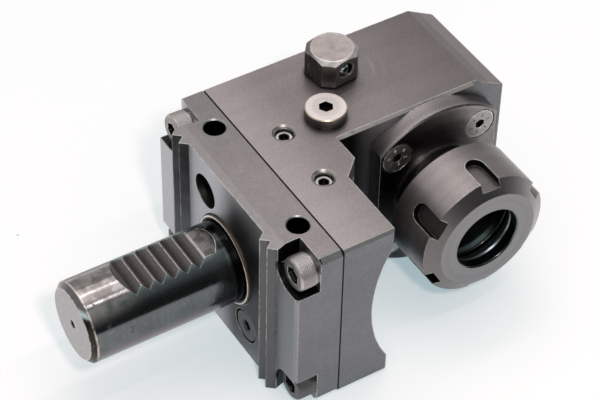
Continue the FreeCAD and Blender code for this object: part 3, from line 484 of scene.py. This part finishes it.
# %% [markdown]
# Round the nozzle a face cutter left faint rings. The other zones are light and shade that the lamps alone
# don't give, painted to match the photograph: a top that goes from pale at the foot to dark at the far
# end, a bright bevel over the chuck, the end chamfer, and a black face behind the flange.

# %% Block
def block_zones(at):
    top = at.step(at.nz, 0.8, 0.95)
    rings = use_group(at.tree, "Turned rings", Centre=(NOZZLE_X, NOZZLE_Y, 0.0), Axis=UP, Spacing=0.0005)
    near = at.step(at.away(at.x, NOZZLE_X, at.y, NOZZLE_Y), 0.02, 0.009)
    marked = at.all(top, near, at.step(rings["Shade"], 0.5, 0.62), at.noise(130.0, 0.42, 0.6))
    bevel = at.all(at.step(at.x, 0.036, 0.038), at.step(at.y, 0.0025, 0.002),
                   at.between(at.ny, -0.85, -0.5, 0.05), at.step(at.nz, 0.3, 0.5),
                   at.noise(300.0, 0.25, 0.45))
    end_chamfer = at.all(at.between(at.nz, 0.82, 0.92, 0.02), at.step(at.x, 0.0866, 0.0872))
    far_bevel = at.all(at.between(at.nz, 0.3, 0.85, 0.05), at.step(at.x, 0.0905, 0.0915))
    hidden = at.all(at.step(at.ny, -0.8, -0.95), at.between(at.y, 0.0, 0.0012), at.step(at.x, 0.052, 0.042))
    from_adjuster = at.away(at.x, ADJUSTER_X, math_node(at.tree, "ABSOLUTE", at.y), ADJUSTER_Y)
    mouth = at.all(at.step(from_adjuster, 0.0037, 0.0036), at.step(at.nz, 0.9, 0.8))
    return [
        (at.all(top, at.step(at.x, 0.036, 0.015)), (0.337, 0.297, 0.294), 0.45),
        (at.all(top, at.step(at.x, 0.05, 0.092)), (0.165, 0.14, 0.142), 0.42),
        (at.all(marked, 0.25), (0.4, 0.37, 0.365), 0.36),
        (end_chamfer, (0.2, 0.163, 0.165), 0.42),
        (far_bevel, (0.47, 0.42, 0.42), 0.42),
        (bevel, (0.74, 0.72, 0.68), 0.45),
        (hidden, (0.004, 0.004, 0.005), 0.4),
        (mouth, (0.42, 0.4, 0.38), 0.45)]


# The block's inner corners are darkened, partly for dirt and partly as painted shade.
steel("block_steel", (1, 1, 1), (0.92, 0.92, 0.93), (0.42, 0.5), zones=block_zones, over_wear=seam, axis=ALONG,
      wear=0.7, lines=0.03, dirt=0.003, width=0.00026,
      faces=((0.3, 0.29, 0.3), (0.2, 0.2, 0.215), (0.2536, 0.218, 0.219), (0.36, 0.38, 0.375)),
      bare=(0.6, 0.58, 0.52))
print("finishes:", *finishes)

# %% [markdown]
# The shank is ground all round, so its side is glossy and blue-black and mirrors the room. Its top towards
# the end is handled most, and the blackening has turned brown and blotchy there. The rack was milled after
# grinding: its flanks are duller and brownish, with dirt in the valleys and bare crests. The steep flanks
# are painted dark, and the others darker towards the valleys, as shade. The end face is turned and worn to a
# satin grey. The bands above and below, and the glint and the dark part of the chamfer, are reflections in
# the photograph that are painted here. The paler band on the side near the end is partly rubbed and partly
# a painted sheen.

# %% Shank
SHANK_R, RACK_START, RACK_END = 0.0125, -0.0361, -0.0048


def shank_zones(at):
    radius = at.away(at.y, 0.0, at.z, 0.0)
    on_side = at.all(at.step(radius, SHANK_R - 0.0003, SHANK_R - 0.0001), at.step(at.nx, -0.75, -0.6))
    top = at.all(on_side, at.step(at.nz, 0.82, 0.88))
    handled = at.all(top, at.step(at.x, RACK_START + 0.004, RACK_START - 0.001))
    blotchy = at.all(handled, at.noise(300.0, 0.4, 0.58))
    upper = at.all(on_side, at.step(at.nz, 0.42, 0.8), at.step(at.nz, 0.93, 0.89))
    under = at.all(on_side, at.step(at.nz, -0.05, -0.25))
    # A paler band on the side near the end: partly rubbing, partly a painted sheen.
    rubbed_and_sheen = at.all(on_side, at.step(at.nz, 0.42, 0.75), at.step(at.x, -0.03, -0.044),
                    at.noise(220.0, 0.25, 0.5))
    milled = at.all(at.step(radius, SHANK_R - 0.0002, SHANK_R - 0.0005), at.step(at.z, 0.0065, 0.0075),
                    at.between(at.x, RACK_START - 0.003, RACK_END + 0.002))
    valley = at.all(milled, at.step(at.z, 0.0101, 0.0098), at.noise(700.0, 0.45, 0.65))
    # The steep flanks are painted dark, and the flanks darker low down, as shade.
    steep = at.all(milled, at.step(at.nx, -0.25, -0.6))
    high = at.all(milled, at.step(at.z, 0.0099, 0.0108))
    neck = at.step(at.x, -0.0036, -0.0031)
    end = at.step(at.nx, -0.9, -0.97)
    chamfer = at.all(at.step(at.x, -0.0479, -0.0483), at.step(at.nx, -0.97, -0.93))
    glint = at.all(chamfer, at.between(at.z, 0.0088, 0.0101, 0.0005), at.step(at.y, 0.0, -0.004))
    lower = at.all(chamfer, at.step(at.z, 0.0088, 0.0075), at.step(at.y, 0.002, -0.002))
    dirt = at.all(chamfer, at.noise(1400.0, 0.5, 0.66), at.step(at.z, 0.008, -0.004))
    return [
        (upper, (0.125, 0.148, 0.152), 0.33),
        (under, (0.178, 0.15, 0.163), 0.19),
        (rubbed_and_sheen, (0.2, 0.2, 0.187), 0.42),
        (handled, (0.34, 0.307, 0.3), 0.13),
        (blotchy, (0.215, 0.19, 0.182), 0.18),
        (milled, (0.1, 0.086, 0.082), 0.42),
        (high, (0.32, 0.293, 0.293), 0.36),
        (steep, (0.05, 0.042, 0.042), 0.4),
        (valley, (0.06, 0.036, 0.028), 0.55),
        (neck, (0.02, 0.02, 0.022), 0.28),
        (end, (0.362, 0.343, 0.349), 0.34),
        (chamfer, (0.17, 0.16, 0.158), 0.2),
        (lower, (0.035, 0.03, 0.028), 0.3),
        (glint, (0.7, 0.86, 0.9), 0.5),
        (at.all(dirt, 0.8), (0.09, 0.065, 0.045), 0.5)]


def shank_marks(at):
    specks = use_group(at.tree, "Specks", Spacing=0.0016, Share=0.2)["Mask"]
    scratches = use_group(at.tree, "Scratches", Along=ALONG, Size=0.006, Share=0.25)["Mask"]
    radius = at.away(at.y, 0.0, at.z, 0.0)
    run_out = at.all(at.between(at.x, -0.0098, -0.003), at.step(at.z, 0.008, 0.009),
                     at.step(radius, 0.01242, 0.01232))
    streaks = use_group(at.tree, "Scratches", Along=ACROSS, Size=0.005, Share=0.5)["Mask"]
    crest = at.all(at.step(at.z, 0.01092, 0.01106), at.step(at.z, 0.01122, 0.01118),
                   at.between(at.x, -0.0365, -0.0098), at.noise(900.0, 0.3, 0.55))
    ring = at.between(at.x, -0.0043, -0.0039, 0.00008)
    rim = at.all(at.between(at.x, -0.0484, -0.0479, 0.00015), at.noise(700.0, 0.25, 0.55),
                 at.noise(260.0, 0.25, 0.5))
    lip = at.all(at.between(radius, 0.01075, 0.01105, 0.00008), at.step(at.x, -0.049, -0.0494),
                 at.noise(1300.0, 0.42, 0.55))
    stain = at.all(at.step(radius, 0.0119, 0.0122), at.noise(450.0, 0.66, 0.72),
                   at.step(at.x, -0.028, -0.036))
    return [
        (at.all(specks, 0.7), (0.4, 0.37, 0.34), 0.5),
        (at.all(scratches, 0.5), (0.35, 0.34, 0.33), 0.35),
        (at.all(run_out, 0.85), (0.2, 0.182, 0.182), 0.32),
        (at.all(run_out, at.noise(350.0, 0.46, 0.6), 0.75), (0.085, 0.072, 0.07), 0.4),
        (at.all(run_out, streaks, 0.7), (0.5, 0.48, 0.47), 0.3),
        (at.all(crest, 0.75), (0.52, 0.46, 0.43), 0.36),
        (at.all(ring, 0.4), (0.3, 0.3, 0.3), 0.3),
        (at.all(rim, 0.75), (0.72, 0.67, 0.6), 0.4),
        (at.all(lip, 0.6), (0.75, 0.7, 0.62), 0.35),
        (at.all(stain, 0.6), (0.1, 0.075, 0.055), 0.5)]


steel("ground_black_steel", (0.14, 0.155, 0.16), (0.11, 0.122, 0.125), (0.1, 0.16), zones=shank_zones,
      over_wear=shank_marks, centre=SHANK_CENTRE, axis=ALONG, spacing=0.0002, cut=0.0000004,
      grain_depth=0.000001, wear=0.9, width=0.00022, bare=(0.6, 0.57, 0.52), lines=0.05)


print("finishes:", *finishes)

# %% [markdown]
# The seal ring has gone pale brown with dust and wear. Its inner lip, where it rubs on the shank, stays
# black, and a thin line of dirt lies beside it.

# %% Seal ring
def seal_zones(at):
    away = at.away(at.y, 0.0, at.z, 0.0)
    return [
        (at.step(away, 0.01355, 0.0134), (0.02, 0.02, 0.02), 0.35),
        (at.step(away, 0.0138, 0.0139), (0.09, 0.07, 0.055), 0.5)]


steel("seal_rubber", (0.85, 0.77, 0.72), (0.66, 0.59, 0.55), (0.35, 0.5), zones=seal_zones,
      centre=SHANK_CENTRE, axis=ALONG, bare=(0.5, 0.45, 0.38), wear=0.2)
print("finishes:", *finishes)

# %% [markdown]
# The chuck's flange is ground and deeply blackened, so it looks almost black. Its rim is turned and paler.
# The gleam in the collet's seat is a painted reflection, and the dark left part of the flange's face is
# painted shade, both placed where the photograph shows them. The nose between the flange and the nut is
# painted nearly black, as shade.

# %% Chuck
def chuck_zones(at):
    radius = at.away(at.x, NUT_X, at.z, 0.0)
    rim = at.all(at.step(radius, 0.0285, 0.0287), at.between(at.y, -0.0056, 0.001))
    flat = at.all(at.step(math_node(at.tree, "ABSOLUTE", at.nx), 0.9, 0.98),
                  at.between(at.y, -0.0056, 0.001))
    # The nose between the flange and the nut is painted nearly black, as shade.
    nose = at.step(at.y, -0.0055, -0.006)
    seat = at.all(nose, at.step(radius, 0.0135, 0.013))
    gleam = at.all(seat, at.between(at.y, -0.0229, -0.0213, 0.0005), at.step(at.x, 0.081, 0.076))
    around_screw = at.away(at.x, NUT_X + FLANGE_SCREW_X, at.z, FLANGE_SCREW_Z)
    gap = at.all(at.between(around_screw, 0.0049, 0.0054), at.step(at.y, -0.0045, -0.0047),
                 at.step(at.ny, -0.9, -0.97))
    shaded = at.all(at.step(at.ny, -0.9, -0.97), at.between(at.y, -0.0052, -0.0044),
                    at.step(at.x, 0.069, 0.057))
    return [
        (shaded, (0.055, 0.05, 0.05), 0.3),
        (rim, (0.225, 0.198, 0.198), 0.36),
        (flat, (0.13, 0.125, 0.13), 0.32),
        (nose, (0.05, 0.046, 0.045), 0.34),
        (seat, (0.085, 0.098, 0.102), 0.32),
        (gleam, (0.75, 1.0, 1.0), 0.42),
        (gap, (0.01, 0.01, 0.01), 0.4)]


def chuck_marks(at):
    specks = use_group(at.tree, "Specks", Spacing=0.0016, Share=0.3)["Mask"]
    return [(at.all(specks, 0.8), (0.8, 0.78, 0.75), 0.5)]


steel("chuck_steel", (0.25, 0.23, 0.228), (0.19, 0.176, 0.175), (0.27, 0.36), zones=chuck_zones,
      over_wear=chuck_marks, centre=NUT_CENTRE, axis=SPINDLE, width=0.00025, wear=0.8, cut=0.000002)
print("finishes:", *finishes)

# %% [markdown]
# The nut is turned all over and worn satin, and its slots were milled afterwards. Their walls are painted
# black, as shade, and their floors are darker than the outside. A face is known by how far its normal looks
# outwards, away from the spindle: fully on the side, not at all in front, and inwards in the bore. The
# zones top, left, right, shaded and upper are painted light, and so are the paler right parts of the cone
# and of the slot floors. The rear rim is paler, partly from wear and partly as a painted highlight. These
# turn with the nut, so they fit only the position that the photograph shows.

# %% Nut
def nut_zones(at):
    radius = at.away(at.x, NUT_X, at.z, 0.0)
    radial_x = math_node(at.tree, "DIVIDE", math_node(at.tree, "SUBTRACT", at.x, NUT_X), radius)
    radial_z = math_node(at.tree, "DIVIDE", at.z, radius)
    outward = math_node(at.tree, "ADD", times(at.tree, at.nx, radial_x), times(at.tree, at.nz, radial_z))
    in_slot = at.all(at.step(radius, 0.0209, 0.0208), at.step(radius, 0.0178, 0.0182),
                     at.step(at.y, -0.0189, -0.0191))
    behind_cone = math_node(at.tree, "MAXIMUM", at.step(at.ny, -0.4, -0.25),
                            at.step(at.y, -0.0291, -0.0287))
    # The slot walls are painted black, as shade.
    slot_wall_shade = at.all(in_slot, at.step(outward, 0.6, 0.35), behind_cone, at.step(at.x, 0.086, 0.082))
    # The rear rim is paler: partly wear, partly a painted highlight.
    back = at.all(at.step(at.y, -0.0128, -0.0124), at.step(radius, 0.0196, 0.0202))
    floor = at.all(in_slot, at.step(outward, 0.85, 0.95))
    cone = at.all(at.step(at.y, -0.0291, -0.0295), at.between(at.ny, -0.85, -0.5, 0.05))
    upper = at.all(cone, at.step(at.z, -0.004, 0.01))
    top = at.all(at.step(outward, 0.9, 0.97), at.step(at.z, 0.008, 0.017), at.step(at.x, 0.088, 0.08))
    right = at.all(at.step(outward, 0.4, 0.6), at.step(at.x, 0.083, 0.09))
    ring = at.all(at.step(radius, 0.0166, 0.0164), at.step(at.ny, -0.9, -0.97))
    bore = at.step(outward, -0.3, -0.7)
    left = at.all(at.step(outward, 0.9, 0.97), at.between(at.z, 0.0085, 0.0195, 0.003),
                  at.step(at.x, 0.069, 0.063))
    shaded = at.all(at.step(outward, 0.9, 0.97), at.step(at.z, 0.004, -0.003),
                    at.step(at.y, -0.024, -0.018), at.step(at.x, 0.062, 0.056))
    return [
        (top, (0.21, 0.186, 0.184), 0.4),
        (left, (0.4, 0.356, 0.348), 0.4),
        (shaded, (0.03, 0.027, 0.027), 0.4),
        (right, (0.49, 0.457, 0.457), 0.42),
        (back, (0.5, 0.46, 0.43), 0.4),
        (slot_wall_shade, (0.012, 0.012, 0.013), 0.6),
        (floor, (0.16, 0.145, 0.14), 0.4),
        # The slot floors are painted paler on the right, as light.
        (at.all(floor, right), (0.3, 0.29, 0.29), 0.42),
        (ring, (0.25, 0.245, 0.252), 0.42),
        (cone, (0.12, 0.12, 0.122), 0.32),
        (upper, (0.072, 0.078, 0.078), 0.3),
        # The right part of the cone is painted paler, as light.
        (at.all(cone, at.step(at.x, 0.078, 0.088)), (0.55, 0.53, 0.53), 0.42),
        (bore, (0.12, 0.14, 0.15), 0.25)]


steel("nut_steel", (0.285, 0.252, 0.25), (0.25, 0.222, 0.22), (0.36, 0.44), zones=nut_zones,
      centre=NUT_CENTRE, axis=SPINDLE, spacing=0.00035, cut=0.000003, wear=0.75, lines=0.04)
steel("ring_steel", (0.42, 0.5, 0.53), (0.2, 0.24, 0.26), (0.32, 0.42), centre=NUT_CENTRE, axis=SPINDLE)
print("finishes:", *finishes)

# %% [markdown]
# Screws are bought ready made, from other batches than the body, so each kind has its own black. The cap
# screws are pale and dry, with darker valleys in their knurl. The sockets are painted dark brown, as shade
# inside them. The left countersunk screw is painted dark, the right one bright and the lower cap screws
# darker, as they are lit in the photograph.

# %% Screws
def cap_screw_zones(at):
    away = at.away(at.y, CAP_SCREW_Y, at.z, CAP_SCREW_Z, fold=True)
    # The socket is painted dark, as shade inside it.
    socket = at.all(at.step(away, 0.00292, 0.00275), at.between(at.x, 0.0017, 0.006))
    band = at.all(at.step(away, 0.0048, 0.0049), at.between(at.x, 0.0066, 0.0078))
    face = at.all(at.step(at.nx, -0.9, -0.97), at.step(away, 0.0028, 0.0029))
    lower = at.step(at.z, 0.0, -0.001)
    return [
        (band, (0.16, 0.15, 0.145), 0.35),
        (face, (0.26, 0.25, 0.24), 0.38),
        (lower, (0.16, 0.155, 0.155), 0.4),
        (socket, (0.05, 0.06, 0.055), 0.3)]


def cap_screw_valleys_and_shade(at):
    away = at.away(at.y, CAP_SCREW_Y, at.z, CAP_SCREW_Z, fold=True)
    valleys = at.all(at.step(away, 0.00508, 0.00503), at.between(at.x, 0.0023, 0.0063), 0.6)
    lower = at.step(at.z, 0.0, -0.001)
    return [
        (valleys, (0.2, 0.185, 0.18), 0.5),
        (lower, (0.13, 0.125, 0.125), 0.42)]


def countersunk_zones(at):
    from_axis = math_node(at.tree, "ABSOLUTE", math_node(at.tree, "SUBTRACT", at.x, NUT_X))
    height = math_node(at.tree, "ABSOLUTE", at.z)
    away = at.away(from_axis, FLANGE_SCREW_X, height, FLANGE_SCREW_Z)
    # The socket is painted dark, as shade inside it.
    socket = at.step(away, 0.00178, 0.0016)
    above = math_node(at.tree, "SUBTRACT", height, FLANGE_SCREW_Z)
    aside = math_node(at.tree, "SUBTRACT", from_axis, FLANGE_SCREW_X)
    angle = math_node(at.tree, "ARCTAN2", above, aside)
    dents = at.all(at.step(math_node(at.tree, "SINE", times(at.tree, angle, 6.0)), 0.75, 0.9),
                   at.between(away, 0.0024, 0.0036, 0.0002))
    # The right screw gets a painted tone for how it is lit, with dark dents.
    lit_right_screw = at.all(at.step(at.x, 0.069, 0.071), at.step(away, 0.0016, 0.0018))
    return [
        (lit_right_screw, (0.36, 0.345, 0.335), 0.4),
        (at.all(dents, lit_right_screw, 0.8), (0.12, 0.115, 0.11), 0.4),
        (at.all(dents, at.step(at.x, 0.071, 0.069), at.noise(900.0, 0.35, 0.5)), (1.0, 0.98, 0.94), 0.9),
        (socket, (0.06, 0.045, 0.035), 0.4)]


def adjuster_zones(at):
    away = at.away(at.x, ADJUSTER_X, math_node(at.tree, "ABSOLUTE", at.y), ADJUSTER_Y)
    # The socket is painted dark, as shade inside it.
    socket = at.step(away, 0.00178, 0.0016)
    return [(socket, (0.055, 0.035, 0.025), 0.45)]


steel("cap_screw_steel", (0.56, 0.51, 0.5), (0.48, 0.437, 0.428), (0.4, 0.5), zones=cap_screw_zones,
      over_wear=cap_screw_valleys_and_shade, axis=ALONG, wear=0.8)
steel("countersunk_steel", (0.5, 0.48, 0.46), (0.36, 0.345, 0.33), (0.36, 0.46), zones=countersunk_zones,
      axis=ACROSS, width=0.0002, wear=0.9, bare=(0.75, 0.73, 0.69))
steel("bright_steel", (0.6, 0.59, 0.58), (0.45, 0.44, 0.43), (0.25, 0.35), zones=adjuster_zones, axis=UP,
      width=0.0002)
print("finishes:", *finishes)

# %% [markdown]
# The nozzle was cut from bar. Its top and its crown are rubbed pale by hands and spanners, its upright
# faces are dark and scratched, and its foot is painted dark, as shade where it stands on the block. One
# side of the crown and the faces along X are painted darker, as the light has them. The collar plug is
# bright on top with a socket painted dark, as shade, and its foot is painted dark as shade too. The last
# finishes are on small or hidden pieces, and they are plain.

# %% Nozzle, plugs and small pieces
def nozzle_zones(at):
    away = at.away(at.x, NOZZLE_X, at.y, NOZZLE_Y)
    top = at.all(at.step(at.nz, 0.8, 0.95), at.step(at.z, 0.036, 0.037))
    crown = at.all(at.between(at.nz, 0.2, 0.9, 0.05), at.step(at.z, 0.0355, 0.0362))
    rim = at.all(top, at.between(away, 0.0062, 0.0066, 0.00015), at.noise(900.0, 0.3, 0.5))
    scuffs = at.all(crown, at.noise(420.0, 0.5, 0.7))
    dot = at.all(top, at.step(away, 0.0009, 0.0004), 0.6)
    dim = at.all(crown, at.step(at.x, 0.0505, 0.0475), at.step(at.y, 0.0245, 0.0275), 0.85)
    upright = at.step(math_node(at.tree, "ABSOLUTE", at.nz), 0.2, 0.1)
    cuts = at.all(upright, use_group(at.tree, "Scratches", Along=UP, Size=0.006, Share=0.9)["Mask"], 0.6)
    nicks = at.all(at.step(at.z, 0.0355, 0.0362), at.step(away, 0.0055, 0.0062),
                   at.noise(1500.0, 0.62, 0.68), at.step(at.x, 0.050, 0.056))
    return [
        (top, (0.43, 0.372, 0.36), 0.42),
        (crown, (0.42, 0.385, 0.365), 0.36),
        (scuffs, (0.3, 0.275, 0.265), 0.4),
        (dim, (0.12, 0.11, 0.11), 0.36),
        (rim, (0.8, 0.75, 0.71), 0.36),
        (dot, (0.3, 0.23, 0.22), 0.45),
        (nicks, (0.9, 0.88, 0.84), 0.3),
        (cuts, (0.32, 0.3, 0.29), 0.35)]


def nozzle_foot_shade(at):
    # Its foot is painted dark, as shade.
    return [(at.step(at.z, 0.0299, 0.0293), (0.03, 0.027, 0.026), 0.4)]


def collar_zones(at):
    away = at.away(at.x, COLLAR_X, at.y, COLLAR_Y)
    # The socket is painted dark, as shade inside it.
    socket = at.all(at.step(away, 0.00232, 0.00225), at.step(at.z, 0.0326, 0.0325))
    return [(socket, (0.035, 0.03, 0.028), 0.35)]


def collar_foot_shade(at):
    # Its foot is painted dark, as shade.
    foot = at.all(at.step(at.z, 0.0314, 0.0303), at.step(at.nz, 0.6, 0.4), 0.85)
    return [(foot, (0.07, 0.066, 0.06), 0.45)]


steel("collar_steel", (0.68, 0.6, 0.575), (0.62, 0.55, 0.53), (0.38, 0.46), zones=collar_zones,
      over_wear=collar_foot_shade, centre=(COLLAR_X, COLLAR_Y, 0.0), axis=UP,
      faces=((0.22, 0.22, 0.21), (0.24, 0.24, 0.225), (1, 1, 1), (0.8, 0.8, 0.68)), bare=(0.75, 0.72, 0.6))
steel("washer_steel", (0.1, 0.09, 0.08), (0.06, 0.055, 0.05), (0.3, 0.45), centre=(COLLAR_X, COLLAR_Y, 0.0),
      axis=UP)
steel("nozzle_steel", (1, 1, 1), (0.94, 0.94, 0.94), (0.3, 0.4), zones=nozzle_zones, over_wear=nozzle_foot_shade,
      axis=UP, wear=0.3, bare=(0.6, 0.57, 0.53),
      faces=((0.06, 0.056, 0.056), (0.25, 0.228, 0.222), (0.36, 0.32, 0.31), (0.1, 0.09, 0.09)))
steel("ball_steel", (0.6, 0.7, 0.76), (0.45, 0.54, 0.6), (0.12, 0.2), axis=UP)
steel("insert_steel", (0.075, 0.079, 0.082), (0.06, 0.064, 0.066), (0.34, 0.44),
      centre=(0.0, -PORT_Y, -PORT_Z), axis=ALONG, wear=0.1)
steel("plug_steel", (0.3, 0.28, 0.27), (0.18, 0.17, 0.16), (0.3, 0.42), axis=UP)
steel("inner_steel", (0.5, 0.49, 0.48), (0.4, 0.39, 0.38), (0.25, 0.35), axis=ALONG)

print("finishes:", *finishes)

# %% [markdown]
# Each solid comes in with a slot that is named after its material. The finish of the same name goes into
# that slot, and nothing else about the solid is changed.

# %% Finishes on the solids
for solid in nodes.values():
    for slot in solid.material_slots:
        slot.material = finishes[slot.material.name.split(".")[0]]
print("finishes:", len(finishes), "on solids:", len(nodes))

# %% [markdown]
# The cap screws' heads have a fine cross knurl, so that fingers can turn them. A bump would flatten at
# the outline, and a boolean of two helical cuts would be heavy. The knurl is a thin sleeve instead: rings
# of points whose radius goes up and down like a chessboard, which makes small pyramids. Where a head
# touches the side of the holder's box, the pyramids end level with it.

# %% Knurl on the cap screws
KNURL_END, KNURL_LOW, KNURL_HIGH = 0.00499, 0.00501, 0.00512
BOX_SIDE = cad_box[1][1]
KNURL_FROM, KNURL_TO = 0.00225, 0.0064
KNURL_AROUND, KNURL_ROWS = 88, 12


def mesh_piece(name, points, faces, body, slot_name):
    mesh = bpy.data.meshes.new(name)
    mesh.from_pydata(points, [], faces)
    mesh.update()
    piece = bpy.data.objects.new(name, mesh)
    bpy.context.scene.collection.objects.link(piece)
    mesh.materials.append(finishes[slot_name])
    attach(piece, body)


def knurl(name, y, z):
    points, faces = [], []
    around, rows = KNURL_AROUND, KNURL_ROWS
    for j in range(rows):
        station = KNURL_FROM + (KNURL_TO - KNURL_FROM) * j / (rows - 1)
        for i in range(around):
            end_row = j in (0, rows - 1)
            radius = KNURL_END if end_row else KNURL_HIGH if (i + j) % 2 == 0 else KNURL_LOW
            angle = 2 * math.pi * i / around
            out_to = max(-BOX_SIDE, min(BOX_SIDE, y + radius * math.cos(angle)))
            points.append((station, out_to, z + radius * math.sin(angle)))
    for j in range(rows - 1):
        for i in range(around):
            a, b = j * around + i, j * around + (i + 1) % around
            c, d = a + around, b + around
            if (i + j) % 2 == 0:
                faces += [(a, c, b), (b, c, d)]
            else:
                faces += [(a, d, b), (a, c, d)]
    mesh_piece(name, points, faces, "head", "cap_screw_steel")


for number, (side, level) in enumerate(((-1, 1), (1, 1), (-1, -1), (1, -1)), 1):
    knurl("knurl_%d" % number, side * CAP_SCREW_Y, level * CAP_SCREW_Z)
print("knurls: 4, pitch mm:", round(4000 * math.pi * KNURL_HIGH / KNURL_AROUND, 2))

# %% [markdown]
# A thread is a ridge that winds round its axis. Few of its turns can be seen, on the chuck's nose when the
# nut is unscrewed and in the two holes over the adjusting screws, but a plain bore there would look wrong.
# Each ridge is swept as a closed triangle, and it fades out at both ends as a cut thread does.

# %% Threads
def thread(name, origin, axis, root, crest, pitch, length, body, slot_name, steps=36):
    """axis is 'Y' for the nose, towards -Y, or 'Z' for the holes, towards +Z; root and crest are radii."""
    points, faces = [], []
    turns = length / pitch
    count = int(turns * steps)
    for k in range(count + 1):
        angle = 2 * math.pi * k / steps
        fade = min(1.0, k / (0.35 * steps), (count - k) / (0.35 * steps))
        station = pitch * k / steps
        ridge, foot = root + (crest - root) * max(fade, 0.02), root - (crest - root) * 0.3
        for offset, radius in ((-0.48, root), (0.0, ridge), (0.48, root), (0.0, foot)):
            s = station + pitch * offset
            c, d = radius * math.cos(angle), radius * math.sin(angle)
            points.append((origin[0] + c, origin[1] - s, origin[2] + d) if axis == "Y" else
                          (origin[0] + c, origin[1] + d, origin[2] + s))
    for k in range(count):
        for m in range(4):
            a, b = 4 * k + m, 4 * k + (m + 1) % 4
            faces.append((a, b, b + 4, a + 4))
    faces += [(3, 2, 1, 0), tuple(4 * count + m for m in range(4))]
    mesh_piece(name, points, faces, body, slot_name)


thread("nose_thread", (NUT_X, -0.0135, 0.0), "Y", 0.01548, 0.01575, 0.0015, 0.0090, "head", "chuck_steel",
       steps=72)
for number, side in ((1, 1), (2, -1)):
    thread("adjuster_thread_%d" % number, (ADJUSTER_X, side * ADJUSTER_Y, 0.02765), "Z", 0.00302, 0.0027,
           0.001, 0.0009, "head", "block_steel")
print("threads: 3")

# %% [markdown]
# The holder lies on a sheet of white paper that stays white in the photograph even between soft shadows.
# The camera sees the paper as warm lit paint plus a cool light of its own, switched by the Light Path
# node: together they are white in the light and pale blue in the shade. Metal that mirrors the paper
# shows the same, and all other rays see plain white paint. The room is bright behind and dark in front,
# and that contrast makes the round parts look black along their middle.

# %% Table and room
FLOOR_Z = cad_box[0][2]
half = 2.0
mesh = bpy.data.meshes.new("table")
corners = [(-half, -half, 0), (half, -half, 0), (half, half, 0), (-half, half, 0)]
mesh.from_pydata(corners, [], [(0, 1, 2, 3)])
table = bpy.data.objects.new("table", mesh)
table.location = (0, 0, FLOOR_Z)
bpy.context.scene.collection.objects.link(table)

material, tree, shader = start_material("white_paper")
rays = put(tree, "LightPath").outputs
seen = math_node(tree, "MAXIMUM", rays["Is Camera Ray"], rays["Is Glossy Ray"])
seen = math_node(tree, "MAXIMUM", seen, rays["Is Transmission Ray"])
specks = use_group(tree, "Specks", Spacing=0.006, Share=0.03)["Mask"]
paint = blend_colour(tree, seen, (0.86, 0.86, 0.86), (0.77, 0.63, 0.585))
fill(tree, shader.inputs["Base Color"], blend_colour(tree, specks, paint, (0.3, 0.28, 0.27)))
fill(tree, shader.inputs["Emission Color"], (0.285, 0.405, 0.445))
fill(tree, shader.inputs["Emission Strength"], seen)
shader.inputs["Roughness"].default_value = 0.8
shader.inputs["Specular IOR Level"].default_value = 0.1
mesh.materials.append(material)

world = bpy.data.worlds.new("room")
world.use_nodes = True
bpy.context.scene.world = world
tree = world.node_tree
backdrop = tree.nodes["Background"]
rays = put(tree, "LightPath").outputs
direction = put(tree, "TexCoord").outputs["Generated"]
tilt = vector_node(tree, "DOT_PRODUCT", direction, (0.0, 1.0, 0.27))
bright = ramp(tree, tilt, -0.2, 0.12, 0.04, 0.68)
lit = blend_value(tree, rays["Is Diffuse Ray"], bright, 0.46)
fill(tree, backdrop.inputs["Strength"], blend_value(tree, rays["Is Camera Ray"], lit, 1.0))
backdrop.inputs["Color"].default_value = (1, 1, 1, 1)


def lamp(name, place, size, power, colour=(1, 1, 1), look_at=(0.02, 0, 0)):
    """Soft lamp of size (along X, across) that looks at the holder."""
    data = bpy.data.lights.new(name, "AREA")
    data.shape, data.size, data.size_y, data.energy, data.color = "RECTANGLE", *size, power, colour
    holder = bpy.data.objects.new(name, data)
    holder.location = place
    back = (Vector(place) - Vector(look_at)).normalized()
    side = (Vector(ALONG) - back * back.x).normalized()
    holder.rotation_euler = Matrix((side, back.cross(side), back)).transposed().to_euler()
    bpy.context.scene.collection.objects.link(holder)


lamp("overhead", (0.1, 0.35, 1.1), (0.9, 0.9), 2.6)
lamp("tube_behind", (0.227, 0.299, 0.865), (0.6, 0.04), 0.75, (1.0, 0.97, 0.95))
lamp("tube_front", (0.279, -0.2245, 0.9), (0.6, 0.035), 0.75, (0.95, 0.98, 1.0))
by_camera = camera.matrix_world.translation + right * 0.08 + upward * 0.06
lamp("hand_lamp", tuple(by_camera), (0.05, 0.05), 1.3, (1.0, 0.97, 0.95))
print("table and lamps are set")
